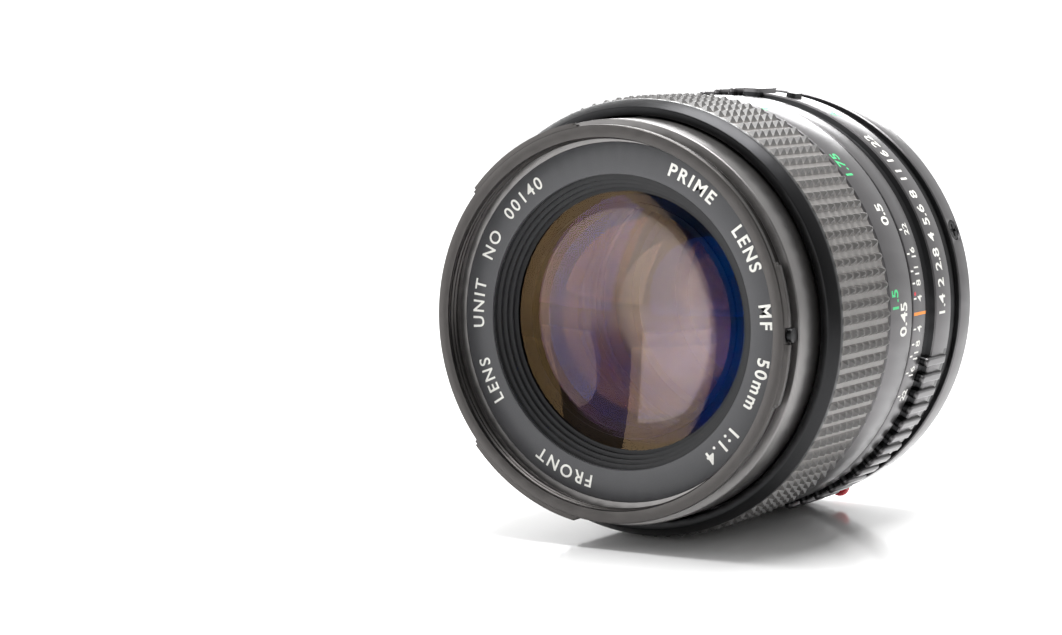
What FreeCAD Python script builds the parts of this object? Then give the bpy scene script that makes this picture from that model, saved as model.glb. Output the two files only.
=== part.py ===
import FreeCAD, Part
import math
import os

# Prime lens, 50 mm f/1.4, with an external bayonet mount. Lengths in mm, angles in degrees.
# The optical axis is the Y axis and the front faces -Y. The origin is the centre of the mount's
# flange plane. The lens lies on its side: its index line is at +X, and +Z is up. It is focused at
# its nearest distance, so the lens unit stands forward by the whole focus travel.
# An "angle" goes round the optical axis from the index line (+X) towards +Z.
# A positive turn about +Y therefore lowers an angle.

VECTOR = FreeCAD.Vector
ORIGIN = VECTOR(0, 0, 0)
OPTICAL_AXIS = VECTOR(0, 1, 0)

# ---- Driving dimensions -------------------------------------------------------------------
FOCUS_THROW = 220.0           # turn of the focus ring over that travel
APERTURE_THROW = 63.0         # turn of the aperture ring from f/1.4 to its automatic setting
STOP_DOWN_THROW = 16.0        # turn of the stop-down lever and of the diaphragm's drive ring
BLADE_SWING = 33.0            # turn of each blade from wide open to f/22

Y_LIP = -48.3                 # front lip at the nearest focus
Y_THREAD_END = -45.8          # rear end of the filter thread
Y_NAME_RING = -44.65          # front face of the ring round the glass
Y_FOCUS_FRONT = -39.5
Y_GRIP_FRONT = -36.7
Y_GRIP_REAR = -22.1
Y_FOCUS_REAR = -14.4
Y_DEPTH_FRONT = -13.7         # front of the fixed ring with the index line
Y_DEPTH_REAR = -9.45
Y_APERTURE_FRONT = -9.3
Y_NUMBER_FRONT = -6.7         # front of the aperture ring's numbered land
Y_APERTURE_REAR = -1.5
Y_REAR_FRONT = -1.2           # front of the rear barrel
Y_REAR_LAND = 1.7
Y_RIM = 5.5                   # rear end of the lens

R_FILTER = 26.0               # 52 mm filter thread
R_THREAD_RELIEF = 26.3        # groove behind the thread
R_LIP = 27.7
R_HOOD_LUG = 28.3
R_FRONT_BARREL = 28.4
R_FOCUS_BEVEL = 30.0
R_FOCUS = 31.0
R_GRIP_SEAT = 30.2
R_GRIP = 31.5                 # largest radius, 63 mm across
R_DEPTH = 30.8
R_NUMBERS = 31.3
R_RIB = 31.95
R_REAR = 31.45
R_SPIGOT = 23.9
R_MAIN_IN, R_MAIN_OUT = 27.0, 28.4
R_HELICOID_IN, R_HELICOID_OUT = 25.28, 26.93
R_CARRIER_IN, R_CARRIER_OUT = 23.5, 25.2
R_FOCUS_BORE = 28.75
RUNNING = 0.06                # radial clearance between turning parts
FIT = 0.05                    # clearance between parts that are fixed together
THROUGH = 0.5                 # how far a cutter or a joined piece runs past its neighbour's surface
SLOT_MARGIN = 1.5             # angle by which a slot outruns the part that moves in it
EDGE = 0.15                   # small chamfer on turned edges

HOOD_LUG_ANGLES = (0.0, 120.0, 240.0)
HOOD_LUG_HALF = 19.5
HOOD_PIN_GAP = 2.4            # half of the gap in the first lug, in front of the stop pin
R_HOOD_PIN = 1.0
Y_HOOD_PIN = Y_LIP + 1.62
LOWER_RIBS = (-13.6, 14)      # first rib's angle and the number of ribs below the numbers
UPPER_RIBS = (92.0, 16)       # first rib's angle and the number of ribs above the button
RIB_PITCH = 4.65
RIB_ROUNDING = 0.4

BLADES = 8
R_BLADE_PIVOT = 20.4
R_BLADE_IN, R_BLADE_OUT = 12.3, 19.0
R_STOP_OPENING = 11.9
BLADE_SPAN = 100.0
BLADE_THICKNESS = 0.12
BLADE_LAYER = 0.2
BLADE_TAIL = 2.8              # distance from a blade's pivot to its drive pin
R_PIVOT_PIN = 0.5
R_DRIVE_PIN = 0.4
BLADE_LEAF_SHIFT = 1.0        # angle from a blade's pivot to the near end of its leaf
R_BLADE_JOINT, BLADE_JOINT_ANGLE = R_BLADE_OUT - 2.4, -7.0
BLADE_LOBE_HALF_WIDTH, BLADE_TAIL_HALF_WIDTH = 1.0, 0.7
Y_BLADES = -26.6              # front of the first blade

# Each glass element: front vertex, axial thickness, front and rear curve radius, rim radius,
# front and rear clear radius. A curve radius is positive when its centre lies behind it.
ELEMENTS = {
    "lens_element_1": (-45.7, 4.8, 43.0, 210.0, 19.2, 19.2, 19.2),
    "lens_element_2": (-40.7, 5.2, 26.0, 62.0, 16.2, 16.2, 16.2),
    "lens_element_3": (-35.0, 1.4, 75.0, 16.5, 14.6, 14.6, 12.6),
    "lens_element_4": (-17.86, 1.3, -17.5, 85.0, 13.0, 11.3, 13.0),
    "lens_element_5": (-16.56, 6.0, 85.0, -27.0, 13.0, 13.0, 13.0),
    "lens_element_6": (-10.3, 3.0, -80.0, -34.0, 14.2, 14.2, 14.2),
    "lens_element_7": (-7.1, 3.0, 130.0, -75.0, 14.2, 14.2, 14.2),
}


# ---- Helpers ------------------------------------------------------------------------------
def polar(radius, angle, y=0.0):
    """A point at a radius and angle about the optical axis."""
    turn = math.radians(angle)
    return VECTOR(radius * math.cos(turn), y, radius * math.sin(turn))


def placed(shape, angle):
    """A copy of a shape built at the index line, moved round to an angle."""
    copy = shape.copy()
    copy.rotate(ORIGIN, OPTICAL_AXIS, -angle)
    return copy


def spun(points, width=360.0):
    """A closed (radius, y) outline revolved about the optical axis."""
    corners = [VECTOR(radius, y, 0) for radius, y in points]
    face = Part.Face(Part.makePolygon(corners + corners[:1]))
    return face.revolve(ORIGIN, OPTICAL_AXIS, width)


def tube(r_in, r_out, y_front, y_rear):
    return spun([(r_in, y_front), (r_out, y_front), (r_out, y_rear), (r_in, y_rear)])


def sector(r_in, r_out, y_front, y_rear, angle, half_width):
    """Part of a tube, centred on an angle."""
    outline = [(r_in, y_front), (r_out, y_front), (r_out, y_rear), (r_in, y_rear)]
    return placed(spun(outline, 2 * half_width), angle + half_width)


def axial_pin(radius, y_front, y_rear, at_radius, angle):
    return Part.makeCylinder(radius, y_rear - y_front, polar(at_radius, angle, y_front), OPTICAL_AXIS)


def radial_pin(radius, r_from, r_to, angle, y):
    return Part.makeCylinder(radius, r_to - r_from, polar(r_from, angle, y), polar(1, angle))


def link(start, end, half_width, y_front, y_rear):
    """A flat bar with round ends between two points, square to the optical axis."""
    depth = y_rear - y_front
    along = VECTOR(end.x - start.x, 0, end.z - start.z)
    side = along.cross(OPTICAL_AXIS).normalize() * half_width
    base = [VECTOR(point.x, y_front, point.z) for point in (start, end)]
    corners = [base[0] + side, base[1] + side, base[1] - side, base[0] - side]
    bar = Part.Face(Part.makePolygon(corners + corners[:1])).extrude(OPTICAL_AXIS * depth)
    ends = [Part.makeCylinder(half_width, depth, point, OPTICAL_AXIS) for point in base]
    return bar.fuse(ends).removeSplitter()


def cross_recess(shape, centre, outward, length, depth):
    """Cuts a cross recess into a screw head whose top is at centre."""
    width = length * 0.25
    rotation = FreeCAD.Rotation(VECTOR(0, 0, 1), outward)
    for turn in (0, 90):
        blade = Part.makeBox(length, width, 2 * depth, VECTOR(-length / 2, -width / 2, -depth))
        blade.rotate(ORIGIN, VECTOR(0, 0, 1), turn)
        blade.Placement = FreeCAD.Placement(centre, rotation).multiply(blade.Placement)
        shape = shape.cut(blade)
    return shape


def radial_screw(shank, head, r_tip, r_seat, r_top, angle, y):
    """A screw driven in towards the axis."""
    solid = radial_pin(shank, r_tip, r_seat, angle, y).fuse(radial_pin(head, r_seat, r_top, angle, y))
    return cross_recess(solid.removeSplitter(), polar(r_top, angle, y), polar(1, angle), head * 1.3, 0.3)


def axial_screw(shank, head, y_tip, y_seat, y_top, at_radius, angle):
    """A screw driven along the axis; its head's top is at y_top."""
    lengths = sorted((y_tip, y_seat)), sorted((y_seat, y_top))
    solid = axial_pin(shank, *lengths[0], at_radius, angle).fuse(axial_pin(head, *lengths[1], at_radius, angle))
    outward = OPTICAL_AXIS * math.copysign(1, y_top - y_seat)
    return cross_recess(solid.removeSplitter(), polar(at_radius, angle, y_top), outward, head * 1.3, 0.2)


def export(node, *solids):
    shape = solids[0] if len(solids) == 1 else Part.makeCompound(list(solids))
    shape.exportStep("parts/" + node + ".step")


# ---- Fixed barrel -------------------------------------------------------------------------
KEY_ANGLES = (60.0, 240.0)
KEY_HALF_WIDTH = 2.0
Y_KEY_FRONT, Y_KEY_REAR = -12.6, -7.4
Y_KEY_SCREW = -11.2
R_KEY_SCREW, R_KEY_SCREW_HEAD = 0.58, 1.05
R_KEY_SCREW_TIP = R_CARRIER_IN + 1.6
R_KEY_SCREW_SEAT = R_DEPTH - 1.6
BARREL_SCREW_ANGLES = (20.5, 140.5, 260.5)
Y_BARREL_SCREW = 3.3
R_BARREL_SCREW, R_SCREW_HEAD = 0.6, 1.45
R_SCREW_TIP = R_MAIN_IN + 0.3
R_SCREW_SEAT = R_REAR - 0.95
R_SCREW_TOP = R_REAR - 0.12
Y_MAIN_FRONT, Y_MAIN_REAR = -29.7, 4.2
Y_CORE_STOP_FRONT, Y_CORE_STOP_REAR = -1.8, -1.06
R_CORE_STOP = 26.2            # inside of the rib that the mount core rests against
R_DEPTH_SEAT = R_DEPTH - 0.9
CLICK_ANGLE = 30.0
Y_CLICK = -4.9
R_CLICK_BALL = 0.8
R_CLICK = 27.9                # distance of the ball's centre from the optical axis
CLICK_LEAF_THICKNESS = 0.2
CLICK_LEAF_HALF_WIDTH = 1.0
CLICK_LEAF_HALF = 14.0
ARM_ANGLE = -60.0             # the aperture ring's coupling arm at f/1.4
ARM_HALF = 2.0
Y_ARM_FRONT, Y_ARM_REAR = -3.5, -2.5
RELEASE_ANGLE = 245.0
Y_RELEASE = 2.2
R_RELEASE = 1.75
R_RELEASE_POCKET = R_MAIN_OUT - 0.9
R_RELEASE_BASE, R_RELEASE_TOP = R_MAIN_OUT + 0.6, R_REAR + 0.45
RELEASE_ROUNDING = 0.25
RED_DOT_ANGLE = -68.5
Y_RED_DOT = Y_BARREL_SCREW - 0.2
R_RED_DOT = 1.5               # curve radius of the bead's dome
RED_DOT_SINK = 0.5            # the dome's centre below the barrel's surface
R_DOT_STEM, DOT_STEM_DEPTH = 0.85, 0.55
STOP_ANGLE = 150.0            # the focus stop on the fixed barrel
STOP_HALF = 3.0
Y_STOP_FRONT = -15.2
R_BAYONET_IN, R_BAYONET_OUT = 26.6, 29.6
R_BAYONET_LUG = 25.4
Y_BAYONET_REAR = 5.3
BAYONET_LUG_ANGLES = (20.0, 140.0, 260.0)
BAYONET_LUG_HALF = 21.0
BAYONET_SCREW_ANGLES = [50.0 + 60.0 * step for step in range(6)]
R_BAYONET_SCREWS = 27.8       # their distance from the optical axis
R_BAYONET_SCREW, R_BAYONET_SCREW_HEAD = 0.45, 0.95
Y_BAYONET_SCREW_TIP = Y_MAIN_REAR - 1.4
Y_BAYONET_SCREW_SEAT = Y_BAYONET_REAR - 0.5
R_SNAP_RING = 26.3
Y_SNAP_FRONT, Y_SNAP_REAR = 0.05, 0.55
SNAP_GAP_ANGLE, SNAP_GAP_HALF = 90.0, 6.0


def main_barrel():
    """The fixed sleeve that the rest is built on, with an inner rib for the mount core."""
    neck, seat, shoulder = R_MAIN_OUT - 0.1, R_DEPTH_SEAT - 0.02, Y_DEPTH_REAR - 0.2
    body = spun([
        (R_MAIN_IN, Y_MAIN_FRONT), (neck, Y_MAIN_FRONT), (neck, Y_DEPTH_FRONT), (seat, Y_DEPTH_FRONT),
        (seat, shoulder), (R_MAIN_OUT, shoulder), (R_MAIN_OUT, Y_MAIN_REAR), (R_MAIN_IN, Y_MAIN_REAR),
        (R_MAIN_IN, Y_CORE_STOP_REAR), (R_CORE_STOP, Y_CORE_STOP_REAR), (R_CORE_STOP, Y_CORE_STOP_FRONT),
        (R_MAIN_IN, Y_CORE_STOP_FRONT)])
    inside, outside = R_MAIN_IN - THROUGH, R_MAIN_OUT + THROUGH
    window_gap = 0.4
    window_half = APERTURE_THROW / 2 + ARM_HALF + SLOT_MARGIN
    body = body.cut(sector(inside, outside, Y_ARM_FRONT - window_gap, Y_ARM_REAR + window_gap,
                           ARM_ANGLE - APERTURE_THROW / 2, window_half))
    body = body.cut(radial_pin(R_CLICK_BALL + 0.02, inside, outside, CLICK_ANGLE, Y_CLICK))
    for angle in KEY_ANGLES:
        body = body.cut(radial_pin(R_KEY_SCREW + 0.02, inside, R_DEPTH, angle, Y_KEY_SCREW))
        body = body.cut(radial_pin(R_KEY_SCREW_HEAD + FIT, R_KEY_SCREW_SEAT, R_DEPTH, angle, Y_KEY_SCREW))
    for angle in BARREL_SCREW_ANGLES:
        body = body.cut(radial_pin(R_BARREL_SCREW, inside, outside, angle, Y_BARREL_SCREW))
    for angle in BAYONET_SCREW_ANGLES:
        body = body.cut(axial_pin(R_BAYONET_SCREW, Y_BAYONET_SCREW_TIP - 0.1, Y_MAIN_REAR + THROUGH,
                                  R_BAYONET_SCREWS, angle))
    return body.cut(radial_pin(R_RELEASE + 0.1, R_RELEASE_POCKET, R_REAR, RELEASE_ANGLE, Y_RELEASE))


def depth_scale_ring():
    """The fixed ring that carries the index line."""
    edge = 0.12
    return spun([
        (R_DEPTH_SEAT, Y_DEPTH_FRONT), (R_DEPTH - edge, Y_DEPTH_FRONT), (R_DEPTH, Y_DEPTH_FRONT + edge),
        (R_DEPTH, Y_DEPTH_REAR - edge), (R_DEPTH - edge, Y_DEPTH_REAR), (R_DEPTH_SEAT, Y_DEPTH_REAR)])


def rear_barrel():
    """The outer rear barrel, with a lower band in front of its land and a recess for the bayonet ring."""
    band, bore, recess = R_REAR - 0.75, R_MAIN_OUT + 0.02, R_BAYONET_OUT + FIT
    bevel, rim_edge = 0.25, 0.4
    body = spun([
        (bore, Y_REAR_FRONT), (band, Y_REAR_FRONT), (band, Y_REAR_LAND - bevel),
        (R_REAR - bevel, Y_REAR_LAND - bevel), (R_REAR, Y_REAR_LAND), (R_REAR, Y_RIM - rim_edge),
        (R_REAR - rim_edge, Y_RIM), (recess, Y_RIM), (recess, Y_MAIN_REAR), (bore, Y_MAIN_REAR)])
    inside, outside = bore - THROUGH, R_REAR + THROUGH
    for angle in BARREL_SCREW_ANGLES:
        body = body.cut(radial_pin(R_BARREL_SCREW + 0.15, inside, R_REAR, angle, Y_BARREL_SCREW))
        body = body.cut(radial_pin(R_SCREW_HEAD + 0.12, R_SCREW_SEAT - FIT, outside, angle, Y_BARREL_SCREW))
    stem_bottom = R_REAR - DOT_STEM_DEPTH - FIT
    body = body.cut(radial_pin(R_DOT_STEM + FIT, stem_bottom, outside, RED_DOT_ANGLE, Y_RED_DOT))
    return body.cut(radial_pin(R_RELEASE + 0.08, inside, outside, RELEASE_ANGLE, Y_RELEASE))


def barrel_screws():
    return [radial_screw(R_BARREL_SCREW, R_SCREW_HEAD, R_SCREW_TIP, R_SCREW_SEAT, R_SCREW_TOP, angle,
                         Y_BARREL_SCREW) for angle in BARREL_SCREW_ANGLES]


def red_index_dot():
    """A domed bead set into the rear barrel."""
    stem = radial_pin(R_DOT_STEM, R_REAR - DOT_STEM_DEPTH, R_REAR, RED_DOT_ANGLE, Y_RED_DOT)
    dome = Part.makeSphere(R_RED_DOT, polar(R_REAR - RED_DOT_SINK, RED_DOT_ANGLE, Y_RED_DOT))
    outside = radial_pin(2 * R_RED_DOT, R_REAR, R_REAR + R_RED_DOT, RED_DOT_ANGLE, Y_RED_DOT)
    return stem.fuse(dome.common(outside)).removeSplitter()


def bayonet_ring():
    """The locking ring inside the rear rim, with three lugs that grip the camera's mount."""
    body = tube(R_BAYONET_IN, R_BAYONET_OUT, Y_MAIN_REAR, Y_BAYONET_REAR)
    for angle in BAYONET_LUG_ANGLES:
        body = body.fuse(sector(R_BAYONET_LUG, R_BAYONET_IN + THROUGH, Y_MAIN_REAR, Y_BAYONET_REAR, angle,
                                BAYONET_LUG_HALF))
    body = body.removeSplitter()
    for angle in BAYONET_SCREW_ANGLES:
        body = body.cut(axial_pin(R_BAYONET_SCREW + FIT, Y_MAIN_REAR - THROUGH, Y_RIM, R_BAYONET_SCREWS, angle))
        body = body.cut(axial_pin(R_BAYONET_SCREW_HEAD + FIT, Y_BAYONET_SCREW_SEAT - FIT, Y_RIM,
                                  R_BAYONET_SCREWS, angle))
    return body


def bayonet_screws():
    return [axial_screw(R_BAYONET_SCREW, R_BAYONET_SCREW_HEAD, Y_BAYONET_SCREW_TIP, Y_BAYONET_SCREW_SEAT,
                        Y_BAYONET_REAR - FIT, R_BAYONET_SCREWS, angle) for angle in BAYONET_SCREW_ANGLES]


def focus_key(angle):
    """A straight guide that keeps the lens unit from turning."""
    inner, outer = R_CARRIER_IN + 0.2, R_MAIN_IN - FIT
    block = Part.makeBox(outer - inner, Y_KEY_REAR - Y_KEY_FRONT, 2 * KEY_HALF_WIDTH,
                         VECTOR(inner, Y_KEY_FRONT, -KEY_HALF_WIDTH))
    block = block.common(tube(R_CARRIER_IN, R_MAIN_IN - 0.01, Y_KEY_FRONT, Y_KEY_REAR))
    hole = radial_pin(R_KEY_SCREW + 0.02, R_KEY_SCREW_TIP - 0.1, R_DEPTH, angle, Y_KEY_SCREW)
    return placed(block, angle).cut(hole)


def key_screws():
    return [radial_screw(R_KEY_SCREW, R_KEY_SCREW_HEAD, R_KEY_SCREW_TIP, R_KEY_SCREW_SEAT, R_DEPTH_SEAT - 0.15,
                         angle, Y_KEY_SCREW) for angle in KEY_ANGLES]


def click_spring():
    """A leaf that presses the click ball outwards."""
    return sector(R_MAIN_IN - CLICK_LEAF_THICKNESS, R_MAIN_IN, Y_CLICK - CLICK_LEAF_HALF_WIDTH,
                  Y_CLICK + CLICK_LEAF_HALF_WIDTH, CLICK_ANGLE, CLICK_LEAF_HALF)


def click_ball():
    return Part.makeSphere(R_CLICK_BALL, polar(R_CLICK, CLICK_ANGLE, Y_CLICK))


def focus_stop():
    """The block that the ends of the focus ring's groove run against."""
    inner, outer = R_FOCUS_BORE + 0.2, R_DEPTH_SEAT - 0.1
    return sector(inner, outer, Y_STOP_FRONT, Y_DEPTH_FRONT, STOP_ANGLE, STOP_HALF)


def core_retaining_ring():
    """A snap ring that holds the mount core in the barrel."""
    ring = tube(R_SNAP_RING, R_MAIN_IN, Y_SNAP_FRONT, Y_SNAP_REAR)
    return ring.cut(sector(R_SNAP_RING - THROUGH, R_MAIN_IN + THROUGH, Y_SNAP_FRONT - THROUGH,
                           Y_SNAP_REAR + THROUGH, SNAP_GAP_ANGLE, SNAP_GAP_HALF))


def release_button():
    """The push button that unlocks the mount."""
    button = radial_pin(R_RELEASE, R_RELEASE_BASE, R_RELEASE_TOP, RELEASE_ANGLE, Y_RELEASE)
    outer = [edge for edge in button.Edges if edge.BoundBox.Center.Length > R_REAR and edge.Closed]
    return button.makeFillet(RELEASE_ROUNDING, outer)


def release_spring():
    """A wave washer under the release button."""
    base, thickness = R_RELEASE_POCKET + FIT, 0.25
    outer, inner = R_RELEASE - 0.2, R_RELEASE - 0.9
    washer = radial_pin(outer, base, base + thickness, RELEASE_ANGLE, Y_RELEASE)
    return washer.cut(radial_pin(inner, base - THROUGH, base + THROUGH, RELEASE_ANGLE, Y_RELEASE))


# ---- Focus ring ---------------------------------------------------------------------------
Y_WEB_FRONT, Y_WEB_REAR = -31.0, -30.0
Y_HELICOID_REAR = -13.2
FOCUS_SCREWS = 6
R_FOCUS_SCREWS = 26.1         # their distance from the optical axis
R_FOCUS_SCREW, R_FOCUS_SCREW_HEAD = 0.39, 0.72
Y_FOCUS_SCREW_TIP = Y_WEB_REAR + 2.5
Y_FOCUS_SCREW_TOP = Y_WEB_FRONT - 0.25
FOCUS_SCREW_ANGLES = [360.0 / FOCUS_SCREWS * index for index in range(FOCUS_SCREWS)]
GRIP_ROWS = 7
GRIP_DEPTH = 0.75


def focus_ring():
    """The focus ring, with a web that holds the helicoid and a groove that limits its turn."""
    edge, bevel = 0.25, 1.6
    body = spun([
        (R_FOCUS_BORE, Y_FOCUS_FRONT), (R_FOCUS_BEVEL - EDGE, Y_FOCUS_FRONT),
        (R_FOCUS_BEVEL, Y_FOCUS_FRONT + EDGE), (R_FOCUS, Y_FOCUS_FRONT + bevel),
        (R_FOCUS, Y_GRIP_FRONT - edge), (R_GRIP_SEAT, Y_GRIP_FRONT), (R_GRIP_SEAT, Y_GRIP_REAR),
        (R_FOCUS, Y_GRIP_REAR + edge), (R_FOCUS, Y_FOCUS_REAR - edge), (R_FOCUS - edge, Y_FOCUS_REAR),
        (R_FOCUS_BORE, Y_FOCUS_REAR), (R_FOCUS_BORE, Y_WEB_REAR), (R_HELICOID_IN, Y_WEB_REAR),
        (R_HELICOID_IN, Y_WEB_FRONT), (R_FOCUS_BORE, Y_WEB_FRONT)])
    relief_front, relief_half = Y_STOP_FRONT - 0.3, FOCUS_THROW / 2 + STOP_HALF + 0.5
    body = body.cut(sector(R_FOCUS_BORE - THROUGH, R_DEPTH_SEAT + 0.1, relief_front, Y_FOCUS_REAR + THROUGH,
                           STOP_ANGLE + FOCUS_THROW / 2, relief_half))
    for angle in FOCUS_SCREW_ANGLES:
        body = body.cut(axial_pin(R_FOCUS_SCREW + RUNNING, Y_WEB_FRONT - THROUGH, Y_WEB_REAR + THROUGH,
                                  R_FOCUS_SCREWS, angle))
    return body


def focus_grip():
    """The rubber sleeve, with a ridge round it for each row of its pattern."""
    pitch = (Y_GRIP_REAR - Y_GRIP_FRONT) / GRIP_ROWS
    valley, land, flank = R_GRIP - GRIP_DEPTH, 0.02, 0.3
    outline = [(R_GRIP_SEAT, Y_GRIP_FRONT)]
    for row in range(GRIP_ROWS):
        start = Y_GRIP_FRONT + row * pitch
        outline += [(valley, start + land), (R_GRIP, start + pitch * flank), (R_GRIP, start + pitch * (1 - flank))]
    outline += [(valley, Y_GRIP_REAR - land), (R_GRIP_SEAT, Y_GRIP_REAR)]
    return spun(outline)


def focus_helicoid():
    """The sleeve that drives the lens unit along its thread."""
    body = tube(R_HELICOID_IN, R_HELICOID_OUT, Y_WEB_REAR, Y_HELICOID_REAR)
    for angle in FOCUS_SCREW_ANGLES:
        body = body.cut(axial_pin(R_FOCUS_SCREW + 0.01, Y_WEB_REAR - THROUGH, Y_FOCUS_SCREW_TIP + 0.1,
                                  R_FOCUS_SCREWS, angle))
    return body


def focus_screws():
    return [axial_screw(R_FOCUS_SCREW, R_FOCUS_SCREW_HEAD, Y_FOCUS_SCREW_TIP, Y_WEB_FRONT, Y_FOCUS_SCREW_TOP,
                        R_FOCUS_SCREWS, angle) for angle in FOCUS_SCREW_ANGLES]


# ---- Lens unit ----------------------------------------------------------------------------
Y_BARREL_FLANGE = -42.4       # rear of the front barrel's inner flange
Y_FRONT_BARREL_REAR = -38.6
R_CELL = 22.3
R_PIN_SEAT = R_LIP - 1.15     # bottom of the hood pin's hole
R_NAME_IN, R_NAME_OUT = 20.75, 25.2
Y_NAME_REAR = -44.2
R_FRONT_RING_LIP = 19.0       # where the front retaining ring touches the glass
Y_CARRIER_REAR = -11.2
Y_CARRIER_FLANGE = -29.45     # rear of the carrier's inner flange
KEY_SLOT_LENGTH = 10.0
Y_CELL_FRONT = -44.12
R_RING_SEAT = 21.35           # bore of the front cell round the front retaining ring
R_CELL_WAIST, Y_CELL_WAIST = 20.0, -38.0
Y_CELL_SHOULDER = -30.65
Y_CELL_REAR = -27.7
R_CELL_REAR = 18.0
# Radius and front end of the front cell's bores for elements 1, 2 and 3.
FRONT_BORES = ((19.25, -41.6), (16.25, -39.98), (14.65, -33.3))
# Radius and front end of the rear cell's bores for elements 4 and 5, and for 6 and 7.
REAR_BORES = ((13.05, -22.03), (14.25, -11.6))
R_REAR_OPENING = 12.0
R_REAR_CELL, Y_REAR_CELL_REAR = 15.6, -3.4
R_REAR_FLANGE, Y_REAR_FLANGE_FRONT, Y_REAR_FLANGE_REAR = 17.6, -23.28, -21.8
# The plain rings between and behind the elements: inner and outer radius, front and rear.
FRONT_SPACER = (15.4, 16.2, -40.2, -35.8)
REAR_GROUP_RING = (12.1, 13.0, -13.2, -11.7)
REAR_SPACER = (13.2, 14.2, -9.9, -6.5)
REAR_RETAINING_RING = (13.0, 14.2, -5.15, -3.6)
WRENCH_NOTCH, WRENCH_NOTCH_HALF = 0.5, 4.0
Y_HOUSING_FRONT = -29.4
Y_COVER_FRONT, Y_COVER_REAR = -24.1, -23.3
Y_DRIVE_FRONT, Y_DRIVE_REAR = -24.9, -24.2
Y_PLATE_FRONT, Y_PLATE_REAR = -27.5, -26.7
R_HOUSING_IN, R_HOUSING_OUT = 22.4, 23.4
R_DRIVE_IN, R_DRIVE_OUT = 18.4, 22.2
R_TAB_IN, R_TAB_OUT = 18.5, 19.5
TAB_ANGLE = 125.0
TAB_HALF = 3.0
Y_TAB_REAR = -9.4


def hood_lug(angle):
    """A hood bayonet lug whose ends step down to the lip."""
    front, rear, root, step = Y_LIP + EDGE, Y_LIP + 1.0, R_LIP - 0.9, 1.0
    body = sector(root, R_HOOD_LUG, front, rear, angle, HOOD_LUG_HALF)
    return body.fuse(sector(root, (R_LIP + R_HOOD_LUG) / 2, front, rear, angle, HOOD_LUG_HALF + step))


def front_barrel():
    """The barrel's filter thread, hood groove and smooth cylinder, with an inner flange for the cell."""
    groove, skirt_bore, lip_bevel = R_LIP - 0.6, 27.0, 0.2
    groove_front, groove_rear = Y_LIP + 1.1, Y_LIP + 3.1
    cell_bore, name_bore = R_CELL + 2 * FIT, R_NAME_OUT + FIT
    body = spun([
        (R_FILTER, Y_LIP), (R_LIP - EDGE, Y_LIP), (R_LIP, Y_LIP + EDGE), (R_LIP, groove_front - lip_bevel),
        (groove, groove_front), (groove, groove_rear), (R_FRONT_BARREL - EDGE, groove_rear),
        (R_FRONT_BARREL, groove_rear + EDGE), (R_FRONT_BARREL, Y_FRONT_BARREL_REAR),
        (skirt_bore, Y_FRONT_BARREL_REAR), (skirt_bore, Y_BARREL_FLANGE), (cell_bore, Y_BARREL_FLANGE),
        (cell_bore, Y_NAME_REAR), (name_bore, Y_NAME_REAR), (name_bore, Y_NAME_RING),
        (R_THREAD_RELIEF, Y_NAME_RING), (R_THREAD_RELIEF, Y_THREAD_END), (R_FILTER, Y_THREAD_END)])
    lugs = [hood_lug(angle) for angle in HOOD_LUG_ANGLES]
    gap = sector(R_LIP, R_HOOD_LUG + THROUGH, Y_LIP, groove_front, HOOD_LUG_ANGLES[0], HOOD_PIN_GAP)
    body = body.fuse(lugs).removeSplitter().cut(gap)
    return body.cut(radial_pin(R_HOOD_PIN + 0.03, R_PIN_SEAT, R_HOOD_LUG + THROUGH, HOOD_LUG_ANGLES[0],
                               Y_HOOD_PIN))


def hood_pin():
    """The stub that stops a lens hood when its bayonet is closed."""
    return radial_pin(R_HOOD_PIN, R_PIN_SEAT, R_HOOD_LUG, HOOD_LUG_ANGLES[0], Y_HOOD_PIN)


def name_ring():
    """The ring round the front glass that carries the lettering."""
    edge = 0.1
    return spun([
        (R_NAME_IN, Y_NAME_RING + edge), (R_NAME_IN + edge, Y_NAME_RING), (R_NAME_OUT, Y_NAME_RING),
        (R_NAME_OUT, Y_NAME_REAR), (R_NAME_IN, Y_NAME_REAR)])


def front_retaining_ring():
    """Holds the front element; its inside steps down to the glass."""
    steps, drop, shrink, bevel = 4, 0.62, 0.6, 0.1
    outer, rear = R_RING_SEAT - FIT, FRONT_BORES[0][1] - FIT
    radius, y = R_NAME_IN - bevel, Y_NAME_REAR
    outline = [(outer, rear), (outer, y), (radius, y)]
    for step in range(steps):
        y += drop
        outline += [(radius, y), (radius - shrink, y)]
        radius -= shrink
    outline += [(radius, rear - bevel), (R_FRONT_RING_LIP, rear)]
    return spun(outline)


def front_cell():
    """Holds elements 1 to 3 in bores that step down towards the diaphragm."""
    (bore_1, y_1), (bore_2, y_2), (bore_3, y_3) = FRONT_BORES
    return spun([
        (R_RING_SEAT, Y_CELL_FRONT), (R_CELL, Y_CELL_FRONT), (R_CELL, Y_CELL_WAIST), (R_CELL_WAIST, Y_CELL_WAIST),
        (R_CELL_WAIST, Y_CELL_SHOULDER), (R_CELL_REAR, Y_CELL_SHOULDER), (R_CELL_REAR, Y_CELL_REAR),
        (bore_3, Y_CELL_REAR), (bore_3, y_3), (bore_2, y_3), (bore_2, y_2), (bore_1, y_2), (bore_1, y_1),
        (R_RING_SEAT, y_1)])


def front_spacer():
    return tube(*FRONT_SPACER)


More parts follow.
